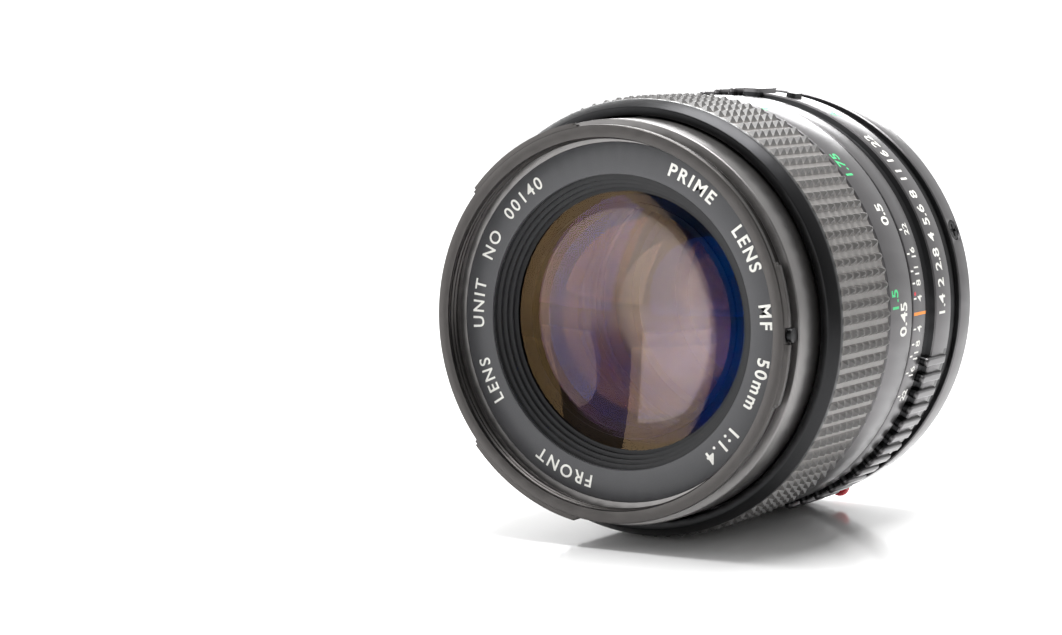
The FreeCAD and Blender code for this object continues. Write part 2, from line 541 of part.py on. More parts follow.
def lens_carrier():
    """The threaded sleeve that carries the optics along the helicoid, slotted for the keys."""
    body = tube(R_CARRIER_IN, R_CARRIER_OUT, Y_BARREL_FLANGE, Y_CARRIER_REAR)
    flange = tube(R_CELL_REAR + FIT, R_CARRIER_IN + 0.2, Y_CELL_SHOULDER, Y_CARRIER_FLANGE)
    body = body.fuse(flange).removeSplitter()
    slot_half = KEY_HALF_WIDTH + 0.08
    inside, outside = R_CARRIER_IN - THROUGH, R_CARRIER_OUT + THROUGH
    for angle in KEY_ANGLES:
        slot = Part.makeBox(outside - inside, KEY_SLOT_LENGTH + THROUGH, 2 * slot_half,
                            VECTOR(inside, Y_CARRIER_REAR - KEY_SLOT_LENGTH, -slot_half))
        body = body.cut(placed(slot, angle))
    return body


def diaphragm_housing():
    """The cup behind the front cell, with a plate that the blades pivot in."""
    bore = R_CELL_REAR + FIT
    body = spun([
        (bore, Y_HOUSING_FRONT), (R_HOUSING_OUT, Y_HOUSING_FRONT), (R_HOUSING_OUT, Y_COVER_REAR),
        (R_HOUSING_IN, Y_COVER_REAR), (R_HOUSING_IN, Y_PLATE_REAR), (R_STOP_OPENING, Y_PLATE_REAR),
        (R_STOP_OPENING, Y_PLATE_FRONT), (bore, Y_PLATE_FRONT)])
    for index in range(BLADES):
        body = body.cut(axial_pin(R_PIVOT_PIN + RUNNING, Y_PLATE_FRONT, Y_PLATE_REAR + THROUGH, R_BLADE_PIVOT,
                                  360.0 / BLADES * index))
    return body


def diaphragm_cover():
    """Closes the housing, with a slot for the drive ring's tab."""
    body = tube(R_STOP_OPENING, R_HOUSING_IN - FIT, Y_COVER_FRONT, Y_COVER_REAR)
    gap = 0.3
    return body.cut(sector(R_TAB_IN - gap, R_TAB_OUT + gap, Y_COVER_FRONT - THROUGH, Y_COVER_REAR + THROUGH,
                           TAB_ANGLE - STOP_DOWN_THROW / 2, STOP_DOWN_THROW / 2 + TAB_HALF + SLOT_MARGIN))


def tail_pin(swing):
    """Where a blade's drive pin is, in the optical axis' plane, after the blade has swung."""
    lean = math.radians(swing - BLADE_SWING / 2)
    return R_BLADE_PIVOT + BLADE_TAIL * math.sin(lean), BLADE_TAIL * math.cos(lean)


def drive_ring():
    """The ring whose cam slots swing the blades."""
    body = tube(R_DRIVE_IN, R_DRIVE_OUT, Y_DRIVE_FRONT, Y_DRIVE_REAR)
    spans, slot_gap = 4, 0.1
    path = []
    for step in range(spans + 1):
        share = step / spans
        along, across = tail_pin(BLADE_SWING * share)
        angle = math.degrees(math.atan2(across, along)) + STOP_DOWN_THROW * share
        path.append(polar(math.hypot(along, across), angle))
    slots = [link(start, end, R_DRIVE_PIN + slot_gap, Y_DRIVE_FRONT - THROUGH, Y_DRIVE_REAR + THROUGH)
             for start, end in zip(path, path[1:])]
    slot = slots[0].fuse(slots[1:])
    for index in range(BLADES):
        body = body.cut(placed(slot, 360.0 / BLADES * index))
    tab = sector(R_TAB_IN, R_TAB_OUT, Y_DRIVE_FRONT, Y_TAB_REAR, TAB_ANGLE, TAB_HALF)
    return body.fuse(tab).removeSplitter()


def blade(index):
    """One thin blade: a curved leaf, a lobe with its pivot pin and a tail with its drive pin."""
    front = Y_BLADES + BLADE_LAYER * index
    rear = front + BLADE_THICKNESS
    pivot = polar(R_BLADE_PIVOT, 0)
    along, across = tail_pin(0)
    tail = VECTOR(along, 0, across)
    leaf = sector(R_BLADE_IN, R_BLADE_OUT, front, rear, -BLADE_SPAN / 2 - BLADE_LEAF_SHIFT, BLADE_SPAN / 2)
    lobe = link(pivot, polar(R_BLADE_JOINT, BLADE_JOINT_ANGLE), BLADE_LOBE_HALF_WIDTH, front, rear)
    arm = link(pivot, tail, BLADE_TAIL_HALF_WIDTH, front, rear)
    flat = leaf.fuse([lobe, arm]).removeSplitter()
    pivot_pin = axial_pin(R_PIVOT_PIN, Y_PLATE_FRONT + 2 * FIT, rear, R_BLADE_PIVOT, 0)
    tail_angle = math.degrees(math.atan2(across, along))
    drive_pin = axial_pin(R_DRIVE_PIN, front, Y_DRIVE_REAR - FIT, math.hypot(along, across), tail_angle)
    whole = flat.fuse([pivot_pin, drive_pin]).removeSplitter()
    return placed(whole, 360.0 / BLADES * index)


def rear_cell():
    """Holds elements 4 to 7 in bores that step up towards the rear."""
    (bore_1, y_1), (bore_2, y_2) = REAR_BORES
    return spun([
        (R_REAR_OPENING, Y_REAR_FLANGE_FRONT), (R_REAR_FLANGE, Y_REAR_FLANGE_FRONT),
        (R_REAR_FLANGE, Y_REAR_FLANGE_REAR), (R_REAR_CELL, Y_REAR_FLANGE_REAR), (R_REAR_CELL, Y_REAR_CELL_REAR),
        (bore_2, Y_REAR_CELL_REAR), (bore_2, y_2), (bore_1, y_2), (bore_1, y_1), (R_REAR_OPENING, y_1)])


def rear_group_ring():
    return tube(*REAR_GROUP_RING)


def rear_spacer():
    return tube(*REAR_SPACER)


def rear_retaining_ring():
    """The threaded ring behind the last element, with two notches for a wrench."""
    inner, outer, front, rear = REAR_RETAINING_RING
    body = tube(inner, outer, front, rear)
    for angle in (0.0, 180.0):
        body = body.cut(sector(inner - THROUGH, inner + WRENCH_NOTCH, rear - WRENCH_NOTCH, rear + THROUGH, angle,
                               WRENCH_NOTCH_HALF))
    return body


def sag(curve, radius):
    """How far a spherical surface bends away from its vertex at a radius."""
    return curve - math.copysign(math.sqrt(curve * curve - radius * radius), curve)


def curved_edge(vertex, curve, clear):
    points = [VECTOR(r, vertex + sag(curve, r), 0) for r in (0.0, clear / 2, clear)]
    return Part.Arc(*points).toShape()


def lens_element(vertex, thickness, front_curve, rear_curve, rim, front_clear, rear_clear):
    """A glass element: two spherical faces, a ground rim and a flat round any smaller face."""
    back = vertex + thickness
    y_front = vertex + sag(front_curve, front_clear)
    y_back = back + sag(rear_curve, rear_clear)
    corners = [(front_clear, y_front), (rim, y_front), (rim, y_back), (rear_clear, y_back)]
    corners = [VECTOR(radius, y, 0) for radius, y in corners]
    edges = [curved_edge(vertex, front_curve, front_clear)]
    edges += [Part.makeLine(start, end) for start, end in zip(corners, corners[1:])
              if start.distanceToPoint(end) > 1e-6]
    edges += [curved_edge(back, rear_curve, rear_clear), Part.makeLine(VECTOR(0, back, 0), VECTOR(0, vertex, 0))]
    face = Part.Face(Part.Wire(Part.__sortEdges__(edges)))
    return face.revolve(ORIGIN, OPTICAL_AXIS, 360.0)


# ---- Aperture ring ------------------------------------------------------------------------
BUTTON_ANGLE = 77.5
Y_BUTTON = -4.2
BUTTON_HALF_WIDTH = 0.75
BUTTON_REACH = 0.9            # half of the straight length between the button's round ends
R_RING_BORE = R_MAIN_OUT + RUNNING
R_BUTTON_POCKET = R_RING_BORE + 0.35
R_BUTTON_BASE, R_BUTTON_TOP = R_RING_BORE + 1.2, R_NUMBERS + 0.65
RIB_HALF_WIDTH = 0.68
Y_RIB_FRONT, Y_RIB_REAR = -9.15, -2.7
WIDE_RIB_ANGLE, WIDE_RIB_HALF = 86.8, 2.3
Y_WIDE_RIB_FRONT = -8.4
R_ARM_IN = 25.45


def rib(angle):
    """A finger rib with a rounded front end."""
    root = R_NUMBERS - 2.6
    y_round = Y_RIB_FRONT + RIB_HALF_WIDTH
    bar = Part.makeBox(R_RIB - root, Y_RIB_REAR - y_round, 2 * RIB_HALF_WIDTH,
                       VECTOR(root, y_round, -RIB_HALF_WIDTH))
    nose = Part.makeCylinder(RIB_HALF_WIDTH, R_RIB - root, VECTOR(root, y_round, 0), VECTOR(1, 0, 0))
    solid = bar.fuse(nose).removeSplitter()
    top = [edge for edge in solid.Edges if edge.BoundBox.XMin > R_RIB - EDGE]
    return placed(solid.makeFillet(RIB_ROUNDING, top), angle)


def button_outline(grow, r_from, r_to):
    """The oblong of the lock button, from one radius to another."""
    half = BUTTON_HALF_WIDTH + grow
    rise = r_to - r_from
    bar = Part.makeBox(rise, 2 * BUTTON_REACH, 2 * half, VECTOR(r_from, Y_BUTTON - BUTTON_REACH, -half))
    ends = [Part.makeCylinder(half, rise, VECTOR(r_from, Y_BUTTON + side * BUTTON_REACH, 0), VECTOR(1, 0, 0))
            for side in (-1, 1)]
    return placed(bar.fuse(ends).removeSplitter(), BUTTON_ANGLE)


def aperture_ring():
    """The aperture ring, with its numbered land, finger ribs and the arm that moves the signal lever."""
    waist, front_lip, rear_lip, edge = R_NUMBERS - 1.2, 0.5, 0.3, 0.2
    waist_front, waist_rear, flank_front = Y_APERTURE_FRONT + 0.7, Y_APERTURE_FRONT + 1.3, Y_NUMBER_FRONT - 0.5
    body = spun([
        (R_RING_BORE, Y_APERTURE_FRONT), (waist + front_lip, Y_APERTURE_FRONT), (waist, waist_front),
        (waist, waist_rear), (waist + rear_lip, flank_front), (R_NUMBERS - FIT, Y_NUMBER_FRONT),
        (R_NUMBERS, Y_NUMBER_FRONT + EDGE), (R_NUMBERS, Y_APERTURE_REAR - edge),
        (R_NUMBERS - edge, Y_APERTURE_REAR), (R_RING_BORE, Y_APERTURE_REAR)])
    ribs = [rib(LOWER_RIBS[0] - RIB_PITCH * index) for index in range(LOWER_RIBS[1])]
    ribs += [rib(UPPER_RIBS[0] + RIB_PITCH * index) for index in range(UPPER_RIBS[1])]
    ribs.append(sector(R_NUMBERS - 1.5, R_RIB, Y_WIDE_RIB_FRONT, Y_RIB_REAR, WIDE_RIB_ANGLE, WIDE_RIB_HALF))
    body = body.fuse(ribs).removeSplitter()
    body = body.cut(Part.makeTorus(R_CLICK, R_CLICK_BALL + RUNNING, VECTOR(0, Y_CLICK, 0), OPTICAL_AXIS))
    body = body.cut(button_outline(0.08, R_BUTTON_POCKET, R_BUTTON_TOP + THROUGH))
    arm = sector(R_ARM_IN, R_RING_BORE + THROUGH, Y_ARM_FRONT, Y_ARM_REAR, ARM_ANGLE, ARM_HALF)
    return body.fuse(arm).removeSplitter()


def ae_lock_button():
    return button_outline(0.0, R_BUTTON_BASE, R_BUTTON_TOP)


def ae_button_spring():
    """A leaf under the lock button."""
    return button_outline(-0.15, R_BUTTON_POCKET + 0.02, R_BUTTON_POCKET + 0.15)


# ---- Mount core ---------------------------------------------------------------------------
R_CORE = R_MAIN_IN - RUNNING
R_CORE_IN = 22.4
Y_CORE_FRONT = -1.0
Y_SPIGOT_REAR = 3.6
R_BAFFLE_IN = 17.6
Y_BAFFLE_REAR = 0.8
LEVER_ANGLE = TAB_ANGLE + 2 * TAB_HALF + 0.4
SIGNAL_TAB_ANGLE = -46.0
R_SIGNAL_IN, R_SIGNAL_OUT = 20.6, 21.8
R_STOP_RING_IN, R_STOP_RING_OUT = 17.9, 19.6
Y_STOP_RING_FRONT, Y_STOP_RING_REAR = -1.6, -0.6
Y_LEVER_FRONT, Y_LEVER_REAR = -15.6, 4.0
R_COLLAR, Y_COLLAR_FRONT = 20.3, -1.8
LEVER_GAP = 0.2               # radial clearance of a lever in its slot
LEDGE_WIDTH = 0.5             # ledge in the mount core that the rear baffle rests on
BAFFLE_SCREW_ANGLES = (20.0, 80.0, 200.0)
R_BAFFLE_SCREWS = 21.0        # their distance from the optical axis
R_BAFFLE_SCREW, R_BAFFLE_SCREW_HEAD, BAFFLE_SCREW_RISE = 0.38, 0.8, 0.4
R_SIGNAL_PINS, R_SIGNAL_PIN = 20.8, 0.6
MAX_APERTURE_PIN = (235.0, 2.2)   # angle and length
AE_SWITCH_PIN = (170.0, 1.6)
R_DOG_IN, R_DOG_OUT = 24.8, 26.1
Y_SIGNAL_FRONT, Y_SIGNAL_REAR = -2.35, -1.2
SIGNAL_PLATE_SHIFT, SIGNAL_PLATE_HALF = 9.0, 10.0
SIGNAL_TAB_HALF = 2.6
Y_SIGNAL_TAB_REAR = 3.4


def mount_core():
    """The part of the mount that stays with the camera while the barrel turns."""
    edge, ledge_margin = 0.3, 6.0
    body = spun([
        (R_CORE_IN, Y_CORE_FRONT), (R_CORE, Y_CORE_FRONT), (R_CORE, 0.0), (R_SPIGOT, 0.0),
        (R_SPIGOT, Y_SPIGOT_REAR - edge), (R_SPIGOT - edge, Y_SPIGOT_REAR), (R_CORE_IN, Y_SPIGOT_REAR)])
    ledge = tube(R_CORE_IN - LEDGE_WIDTH, R_CORE_IN + THROUGH, Y_CORE_FRONT, -0.02)
    clear = sector(R_CORE_IN - LEDGE_WIDTH - THROUGH, R_CORE_IN, Y_CORE_FRONT - THROUGH, THROUGH,
                   SIGNAL_TAB_ANGLE - APERTURE_THROW / 2, APERTURE_THROW / 2 + ledge_margin)
    return body.fuse(ledge.cut(clear)).removeSplitter()


def rear_baffle():
    """The rear light baffle, slotted for the levers, with a collar that guides the stop-down ring."""
    collar_bore = R_STOP_RING_OUT + RUNNING
    signal_margin = 3.5
    body = tube(R_BAFFLE_IN, R_CORE_IN - 0.02, 0.0, Y_BAFFLE_REAR)
    body = body.fuse(tube(collar_bore, R_COLLAR, Y_COLLAR_FRONT, 0.0)).removeSplitter()
    slot_front, slot_rear = -THROUGH, Y_BAFFLE_REAR + THROUGH
    signal_slot = sector(R_SIGNAL_IN - LEVER_GAP, R_SIGNAL_OUT + LEVER_GAP, slot_front, slot_rear,
                         SIGNAL_TAB_ANGLE - APERTURE_THROW / 2, APERTURE_THROW / 2 + signal_margin)
    lever_slot = sector(R_TAB_IN - LEVER_GAP, collar_bore, slot_front, slot_rear,
                        LEVER_ANGLE - STOP_DOWN_THROW / 2, STOP_DOWN_THROW / 2 + TAB_HALF + SLOT_MARGIN)
    body = body.cut(signal_slot).cut(lever_slot)
    for angle in BAFFLE_SCREW_ANGLES:
        body = body.cut(axial_pin(R_BAFFLE_SCREW + 0.02, slot_front, slot_rear, R_BAFFLE_SCREWS, angle))
    return body


def baffle_screws():
    return [axial_screw(R_BAFFLE_SCREW, R_BAFFLE_SCREW_HEAD, FIT, Y_BAFFLE_REAR, Y_BAFFLE_REAR + BAFFLE_SCREW_RISE,
                        R_BAFFLE_SCREWS, angle) for angle in BAFFLE_SCREW_ANGLES]


def signal_pin(angle, length):
    """A fixed pin that tells the camera about the lens."""
    return axial_pin(R_SIGNAL_PIN, Y_BAFFLE_REAR, Y_BAFFLE_REAR + length, R_SIGNAL_PINS, angle)


def stop_down_lever():
    """The lever the camera moves to close the blades, on a ring round the optical axis."""
    ring = tube(R_STOP_RING_IN, R_STOP_RING_OUT, Y_STOP_RING_FRONT, Y_STOP_RING_REAR)
    reach = sector(R_TAB_IN, R_TAB_OUT, Y_LEVER_FRONT, Y_LEVER_REAR, LEVER_ANGLE, TAB_HALF)
    return ring.fuse(reach).removeSplitter()


def signal_lever():
    """Passes the aperture ring's setting to the camera."""
    dog = sector(R_DOG_IN, R_DOG_OUT, Y_ARM_FRONT, Y_ARM_REAR + 0.2, ARM_ANGLE + 2 * ARM_HALF + 0.4, ARM_HALF)
    plate = sector(R_CORE_IN, R_DOG_OUT, Y_SIGNAL_FRONT, Y_SIGNAL_REAR, ARM_ANGLE + SIGNAL_PLATE_SHIFT,
                   SIGNAL_PLATE_HALF)
    inward = sector(R_SIGNAL_IN, R_CORE_IN + THROUGH, Y_SIGNAL_FRONT, Y_SIGNAL_REAR, SIGNAL_TAB_ANGLE,
                    SIGNAL_TAB_HALF)
    tab = sector(R_SIGNAL_IN, R_SIGNAL_OUT, Y_SIGNAL_FRONT, Y_SIGNAL_TAB_REAR, SIGNAL_TAB_ANGLE, SIGNAL_TAB_HALF)
    return dog.fuse([plate, inward, tab]).removeSplitter()


# ---- Export -------------------------------------------------------------------------------
os.makedirs("parts", exist_ok=True)

export("main_barrel", main_barrel())
export("depth_scale_ring", depth_scale_ring())
export("rear_barrel", rear_barrel())
export("barrel_screws", *barrel_screws())
export("red_index_dot", red_index_dot())
export("bayonet_ring", bayonet_ring())
export("bayonet_screws", *bayonet_screws())
export("focus_keys", *[focus_key(angle) for angle in KEY_ANGLES])
export("key_screws", *key_screws())
export("click_spring", click_spring())
export("click_ball", click_ball())
export("focus_stop", focus_stop())
export("core_retaining_ring", core_retaining_ring())
export("release_button", release_button())
export("release_spring", release_spring())

export("focus_ring", focus_ring())
export("focus_grip", focus_grip())
export("focus_helicoid", focus_helicoid())
export("focus_screws", *focus_screws())

export("front_barrel", front_barrel())
export("hood_pin", hood_pin())
export("name_ring", name_ring())
export("front_retaining_ring", front_retaining_ring())
export("front_cell", front_cell())
export("front_spacer", front_spacer())
export("lens_carrier", lens_carrier())
export("diaphragm_housing", diaphragm_housing())
export("diaphragm_cover", diaphragm_cover())
export("drive_ring", drive_ring())
for number in range(BLADES):
    export("blade_" + str(number + 1), blade(number))
export("rear_cell", rear_cell())
export("rear_group_ring", rear_group_ring())
export("rear_spacer", rear_spacer())
export("rear_retaining_ring", rear_retaining_ring())
for node, figures in ELEMENTS.items():
    export(node, lens_element(*figures))

export("aperture_ring", aperture_ring())
export("ae_lock_button", ae_lock_button())
export("ae_button_spring", ae_button_spring())

export("mount_core", mount_core())
export("rear_baffle", rear_baffle())
export("baffle_screws", *baffle_screws())
export("max_aperture_pin", signal_pin(*MAX_APERTURE_PIN))
export("ae_switch_pin", signal_pin(*AE_SWITCH_PIN))
export("stop_down_lever", stop_down_lever())
export("signal_lever", signal_lever())
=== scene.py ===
import bmesh
import bpy
import math
from mathutils import Matrix, Vector

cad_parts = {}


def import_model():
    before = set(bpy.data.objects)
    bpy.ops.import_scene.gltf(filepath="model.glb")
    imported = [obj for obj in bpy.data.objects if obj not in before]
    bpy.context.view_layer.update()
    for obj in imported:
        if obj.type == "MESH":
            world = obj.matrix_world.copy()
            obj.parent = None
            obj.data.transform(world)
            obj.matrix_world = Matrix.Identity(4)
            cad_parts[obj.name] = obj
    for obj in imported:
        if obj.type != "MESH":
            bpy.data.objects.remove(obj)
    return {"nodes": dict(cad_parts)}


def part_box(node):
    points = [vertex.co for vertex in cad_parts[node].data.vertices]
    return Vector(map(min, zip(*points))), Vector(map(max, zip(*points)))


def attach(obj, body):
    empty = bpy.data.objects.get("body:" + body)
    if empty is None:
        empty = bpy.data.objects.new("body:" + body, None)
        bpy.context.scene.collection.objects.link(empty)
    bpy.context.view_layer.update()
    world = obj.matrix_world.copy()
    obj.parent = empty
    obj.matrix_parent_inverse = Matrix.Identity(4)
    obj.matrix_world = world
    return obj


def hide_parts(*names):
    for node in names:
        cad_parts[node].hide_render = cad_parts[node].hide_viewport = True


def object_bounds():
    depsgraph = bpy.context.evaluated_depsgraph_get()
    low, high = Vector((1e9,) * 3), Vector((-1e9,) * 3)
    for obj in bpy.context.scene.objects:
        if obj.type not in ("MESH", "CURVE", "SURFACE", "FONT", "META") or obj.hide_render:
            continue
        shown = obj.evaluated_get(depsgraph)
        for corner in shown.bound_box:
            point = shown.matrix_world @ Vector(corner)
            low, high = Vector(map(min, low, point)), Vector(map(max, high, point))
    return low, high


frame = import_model()
cad_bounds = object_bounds()

# The looks of a 50 mm f/1.4 lens that lies on its side. The optical axis is Y, the front faces -Y,
# and the index line is at +X. An angle goes round the axis from the index line towards +Z.

MM = 0.001
FULL_TURN = 2 * math.pi


# ---- Measures taken from the frame --------------------------------------------------------
def ring_of(node):
    """A round node's outer radius, front and rear."""
    low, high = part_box(node)
    return high.x, low.y, high.y


FRONT_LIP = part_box("front_barrel")[0].y
NAME_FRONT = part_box("name_ring")[0].y
NAME_RADIUS = ring_of("name_ring")[0]
GRIP_RADIUS, GRIP_FRONT, GRIP_REAR = ring_of("focus_grip")
FOCUS_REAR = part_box("focus_ring")[1].y
DEPTH_FRONT, DEPTH_REAR = ring_of("depth_scale_ring")[1:]
APERTURE_FRONT, APERTURE_REAR = ring_of("aperture_ring")[1:]
REAR_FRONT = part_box("rear_barrel")[0].y
FLOOR_HEIGHT = cad_bounds[0].z

HOOD_GROOVE_REAR = FRONT_LIP + 3.05 * MM
BEVEL_REAR = GRIP_FRONT - 0.34 * MM       # rear end of the focus ring's front bevel, coloured dead black in front of here as painted shade
NUMBER_FRONT = APERTURE_FRONT + 2.6 * MM  # front of the aperture ring's numbered land
RIB_REAR = APERTURE_REAR - 1.2 * MM
REAR_LAND = REAR_FRONT + 2.72 * MM        # where the rear barrel's black band ends
FOCUS_RADIUS = 31.0 * MM
DEPTH_RADIUS = 30.8 * MM
LAND_RADIUS = 31.3 * MM
FILTER_RADIUS = 26.0 * MM
NAME_HOLE_RADIUS = 20.75 * MM
PAINT = 0.02 * MM                         # how far a painted mark stands above its surface


# ---- Mesh helpers -------------------------------------------------------------------------
ON_AXIS = 1e-7                # a point nearer to the axis than this lies on it


def on_axis(radius, angle, y):
    """A point at a radius and an angle in radians about the optical axis."""
    return Vector((radius * math.cos(angle), y, radius * math.sin(angle)))


def new_object(name, vertices, faces, body, material):
    """A mesh piece that rides on a body."""
    mesh = bpy.data.meshes.new(name)
    mesh.from_pydata([tuple(v) for v in vertices], [], faces)
    mesh.update()
    piece = bpy.data.objects.new(name, mesh)
    bpy.context.scene.collection.objects.link(piece)
    mesh.materials.append(material)
    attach(piece, body)
    return piece


def shade(piece, sharp_degrees=35.0):
    """Smooth shading with edges sharper than an angle kept crisp."""
    work = bmesh.new()
    work.from_mesh(piece.data)
    bmesh.ops.recalc_face_normals(work, faces=work.faces)
    limit = math.radians(sharp_degrees)
    for face in work.faces:
        face.smooth = True
    for edge in work.edges:
        if len(edge.link_faces) == 2:
            edge.smooth = edge.calc_face_angle(0.0) < limit
    work.to_mesh(piece.data)
    work.free()


def lathe(name, outline, body, material, segments):
    """A closed (radius, y) outline turned about the optical axis. Points on the axis are shared."""
    vertices, rows = [], []
    for radius, y in outline:
        count = 1 if radius < ON_AXIS else segments
        rows.append([len(vertices) + k for k in range(count)])
        vertices += [on_axis(radius, FULL_TURN * k / segments, y) for k in range(count)]
    faces = []
    for row, after in zip(rows, rows[1:] + rows[:1]):
        for k in range(segments):
            corners = [row[k % len(row)], row[(k + 1) % len(row)],
                       after[(k + 1) % len(after)], after[k % len(after)]]
            corners = list(dict.fromkeys(corners))
            if len(corners) > 2:
                faces.append(corners)
    piece = new_object(name, vertices, faces, body, material)
    shade(piece)
    return piece


# ---- Shader helpers -----------------------------------------------------------------------
class Shader:
    """A material built node by node."""

    def __init__(self, name):
        self.material = bpy.data.materials.new(name)
        self.material.use_nodes = True
        self.tree = self.material.node_tree
        self.surface = self.tree.nodes["Principled BSDF"]

    def node(self, kind, **inputs):
        """A node with its inputs set by name to values or sockets."""
        made = self.tree.nodes.new(kind)
        for key, value in inputs.items():
            self.feed(made.inputs[key.replace("_", " ")], value)
        return made

    def feed(self, socket, value):
        """Links a socket to an input, or sets the input to a value."""
        if isinstance(value, bpy.types.NodeSocket):
            self.tree.links.new(value, socket)
        else:
            socket.default_value = value

    def set(self, **inputs):
        """Feeds the surface's own inputs."""
        for key, value in inputs.items():
            self.feed(self.surface.inputs[key.replace("_", " ")], value)

    def math(self, operation, first, second=0.0):
        """The result of a sum on two numbers or sockets."""
        made = self.tree.nodes.new("ShaderNodeMath")
        made.operation = operation
        for socket, value in zip(made.inputs, (first, second)):
            self.feed(socket, value)
        return made.outputs[0]

    def spread(self, factor, low, high):
        """A factor from 0 to 1 mapped to low..high."""
        made = self.node("ShaderNodeMapRange", Value=factor, To_Min=low, To_Max=high)
        return made.outputs[0]

    def blend(self, factor, first, second):
        """A colour between two colours."""
        made = self.tree.nodes.new("ShaderNodeMix")
        made.data_type = "RGBA"
        self.feed(made.inputs[0], factor)
        self.feed(made.inputs[6], first)
        self.feed(made.inputs[7], second)
        return made.outputs[2]

    def place(self):
        """Object coordinates in millimetres."""
        coordinates = self.tree.nodes.new("ShaderNodeTexCoord")
        in_millimetres = self.tree.nodes.new("ShaderNodeVectorMath")
        in_millimetres.operation = "SCALE"
        self.tree.links.new(coordinates.outputs["Object"], in_millimetres.inputs[0])
        in_millimetres.inputs["Scale"].default_value = 1 / MM
        return in_millimetres.outputs[0]

    def turned_place(self, squeeze):
        """(radius, y, angle) about the optical axis, with the angle squeezed for lathe lines."""
        parts = self.node("ShaderNodeSeparateXYZ", Vector=self.place())
        x, y, z = parts.outputs
        square = self.math("ADD", self.math("MULTIPLY", x, x), self.math("MULTIPLY", z, z))
        radius = self.math("SQRT", square)
        angle = self.math("MULTIPLY", self.math("ARCTAN2", z, x), squeeze)
        return self.node("ShaderNodeCombineXYZ", X=radius, Y=y, Z=angle).outputs[0]

    def ring_parts(self):
        """Sockets with the radius, the place along the axis and the angle about it."""
        return self.node("ShaderNodeSeparateXYZ", Vector=self.turned_place(1.0)).outputs

    def noise(self, vector, scale, detail=3.0, roughness=0.6):
        """A noise factor that is mostly between 0.3 and 0.7."""
        return self.node("ShaderNodeTexNoise", Vector=vector, Scale=scale, Detail=detail,
                         Roughness=roughness).outputs[0]

    def above(self, factor, start, end):
        """0 below start and 1 above end."""
        made = self.node("ShaderNodeMapRange", Value=factor, From_Min=start, From_Max=end)
        return made.outputs[0]

    def bump(self, height, strength, distance):
        """Makes the surface uneven."""
        made = self.node("ShaderNodeBump", Height=height, Strength=strength, Distance=distance)
        self.feed(self.surface.inputs["Normal"], made.outputs[0])

    def edges(self, radius):
        """Near 1 along sharp edges, where a finish wears."""
        rounded = self.node("ShaderNodeBevel", Radius=radius)
        rounded.samples = 4
        geometry = self.tree.nodes.new("ShaderNodeNewGeometry")
        dot = self.tree.nodes.new("ShaderNodeVectorMath")
        dot.operation = "DOT_PRODUCT"
        self.tree.links.new(rounded.outputs[0], dot.inputs[0])
        self.tree.links.new(geometry.outputs["Normal"], dot.inputs[1])
        return self.math("SUBTRACT", 1.0, dot.outputs["Value"])


DEAD_BLACK = (0.026, 0.026, 0.027, 1.0)
WORN_METAL = (0.42, 0.41, 0.40, 1.0)
DUST = (0.50, 0.48, 0.45, 1.0)
# Painted sheen: the lighter colour given to the valleys between the grip's studs.
GRIP_VALLEY_SHEEN = (0.34, 0.32, 0.305, 1.0)
PINHOLE = (0.05, 0.05, 0.05, 1.0)
RUBBER_DARK = (0.060, 0.057, 0.055, 1.0)
RUBBER_LIGHT = (0.092, 0.088, 0.085, 1.0)


def scaled(colour, share):
    """A colour made lighter or darker."""
    return tuple(channel * share for channel in colour[:3]) + (1.0,)


def anodised(name, tint, roughness, wear=1.0, blackened=None, black=DEAD_BLACK):
    """Black anodised aluminium: lathe lines, a fine blasted grain, dust and worn edges.

    The mask argument, if given, marks the darker part: matt black bands on some rings, painted shade on the
    front lip and the focus bevel.
    """
    shader = Shader(name)
    place = shader.place()
    lathe_lines = shader.noise(shader.turned_place(0.4), 7.0, 4.0)
    grain = shader.noise(place, 9.0, 5.0, 0.7)
    cloud = shader.noise(place, 0.22, 3.0)
    worn = shader.math("MULTIPLY", shader.above(shader.edges(0.12 * MM), 0.06, 0.3),
                       shader.above(shader.noise(place, 1.3), 0.42, 0.62))
    dust_and_sheen = shader.above(shader.noise(place, 4.2, 2.0, 0.5), 0.74, 0.79)
    colour = shader.blend(cloud, scaled(tint, 0.82), tint)
    colour = shader.blend(shader.math("MULTIPLY", worn, 0.55 * wear), colour, WORN_METAL)
    colour = shader.blend(shader.math("MULTIPLY", dust_and_sheen, 0.25), colour, DUST)
    if blackened:
        mask = blackened(shader)
        colour = shader.blend(mask, colour, black)
        shader.set(Specular_IOR_Level=shader.spread(mask, 0.5, 0.3))
    shader.set(Base_Color=colour, Metallic=1.0)
    uneven = shader.math("ADD", shader.spread(cloud, roughness - 0.04, roughness + 0.06),
                         shader.spread(grain, -0.05, 0.05))
    shader.set(Roughness=shader.math("ADD", uneven, shader.math("MULTIPLY", dust_and_sheen, 0.2)))
    height = shader.math("ADD", shader.math("MULTIPLY", lathe_lines, 0.12),
                         shader.math("MULTIPLY", grain, 0.25))
    shader.bump(height, 0.35, 0.012 * MM)
    return shader.material


def before(y):
    """Marks what lies in front of a place on the axis."""
    return lambda shader: shader.math("LESS_THAN", shader.ring_parts()[1], y / MM)


# The aperture ring's ribs lie below the first of these angles and above the second.
RIB_LIMITS = (math.radians(-11), math.radians(89))


def aperture_black(shader):
    """Marks the aperture ring's waist, and the strip behind its ribs."""
    radius, y, angle = shader.ring_parts()
    low = shader.math("LESS_THAN", radius, LAND_RADIUS / MM + 0.08)
    waist = shader.math("LESS_THAN", y, NUMBER_FRONT / MM - 0.12)
    ribbed = shader.math("MAXIMUM", shader.math("LESS_THAN", angle, RIB_LIMITS[0]),
                         shader.math("GREATER_THAN", angle, RIB_LIMITS[1]))
    strip = shader.math("MULTIPLY", ribbed, shader.math("GREATER_THAN", y, RIB_REAR / MM))
    return shader.math("MULTIPLY", low, shader.math("MAXIMUM", waist, strip))


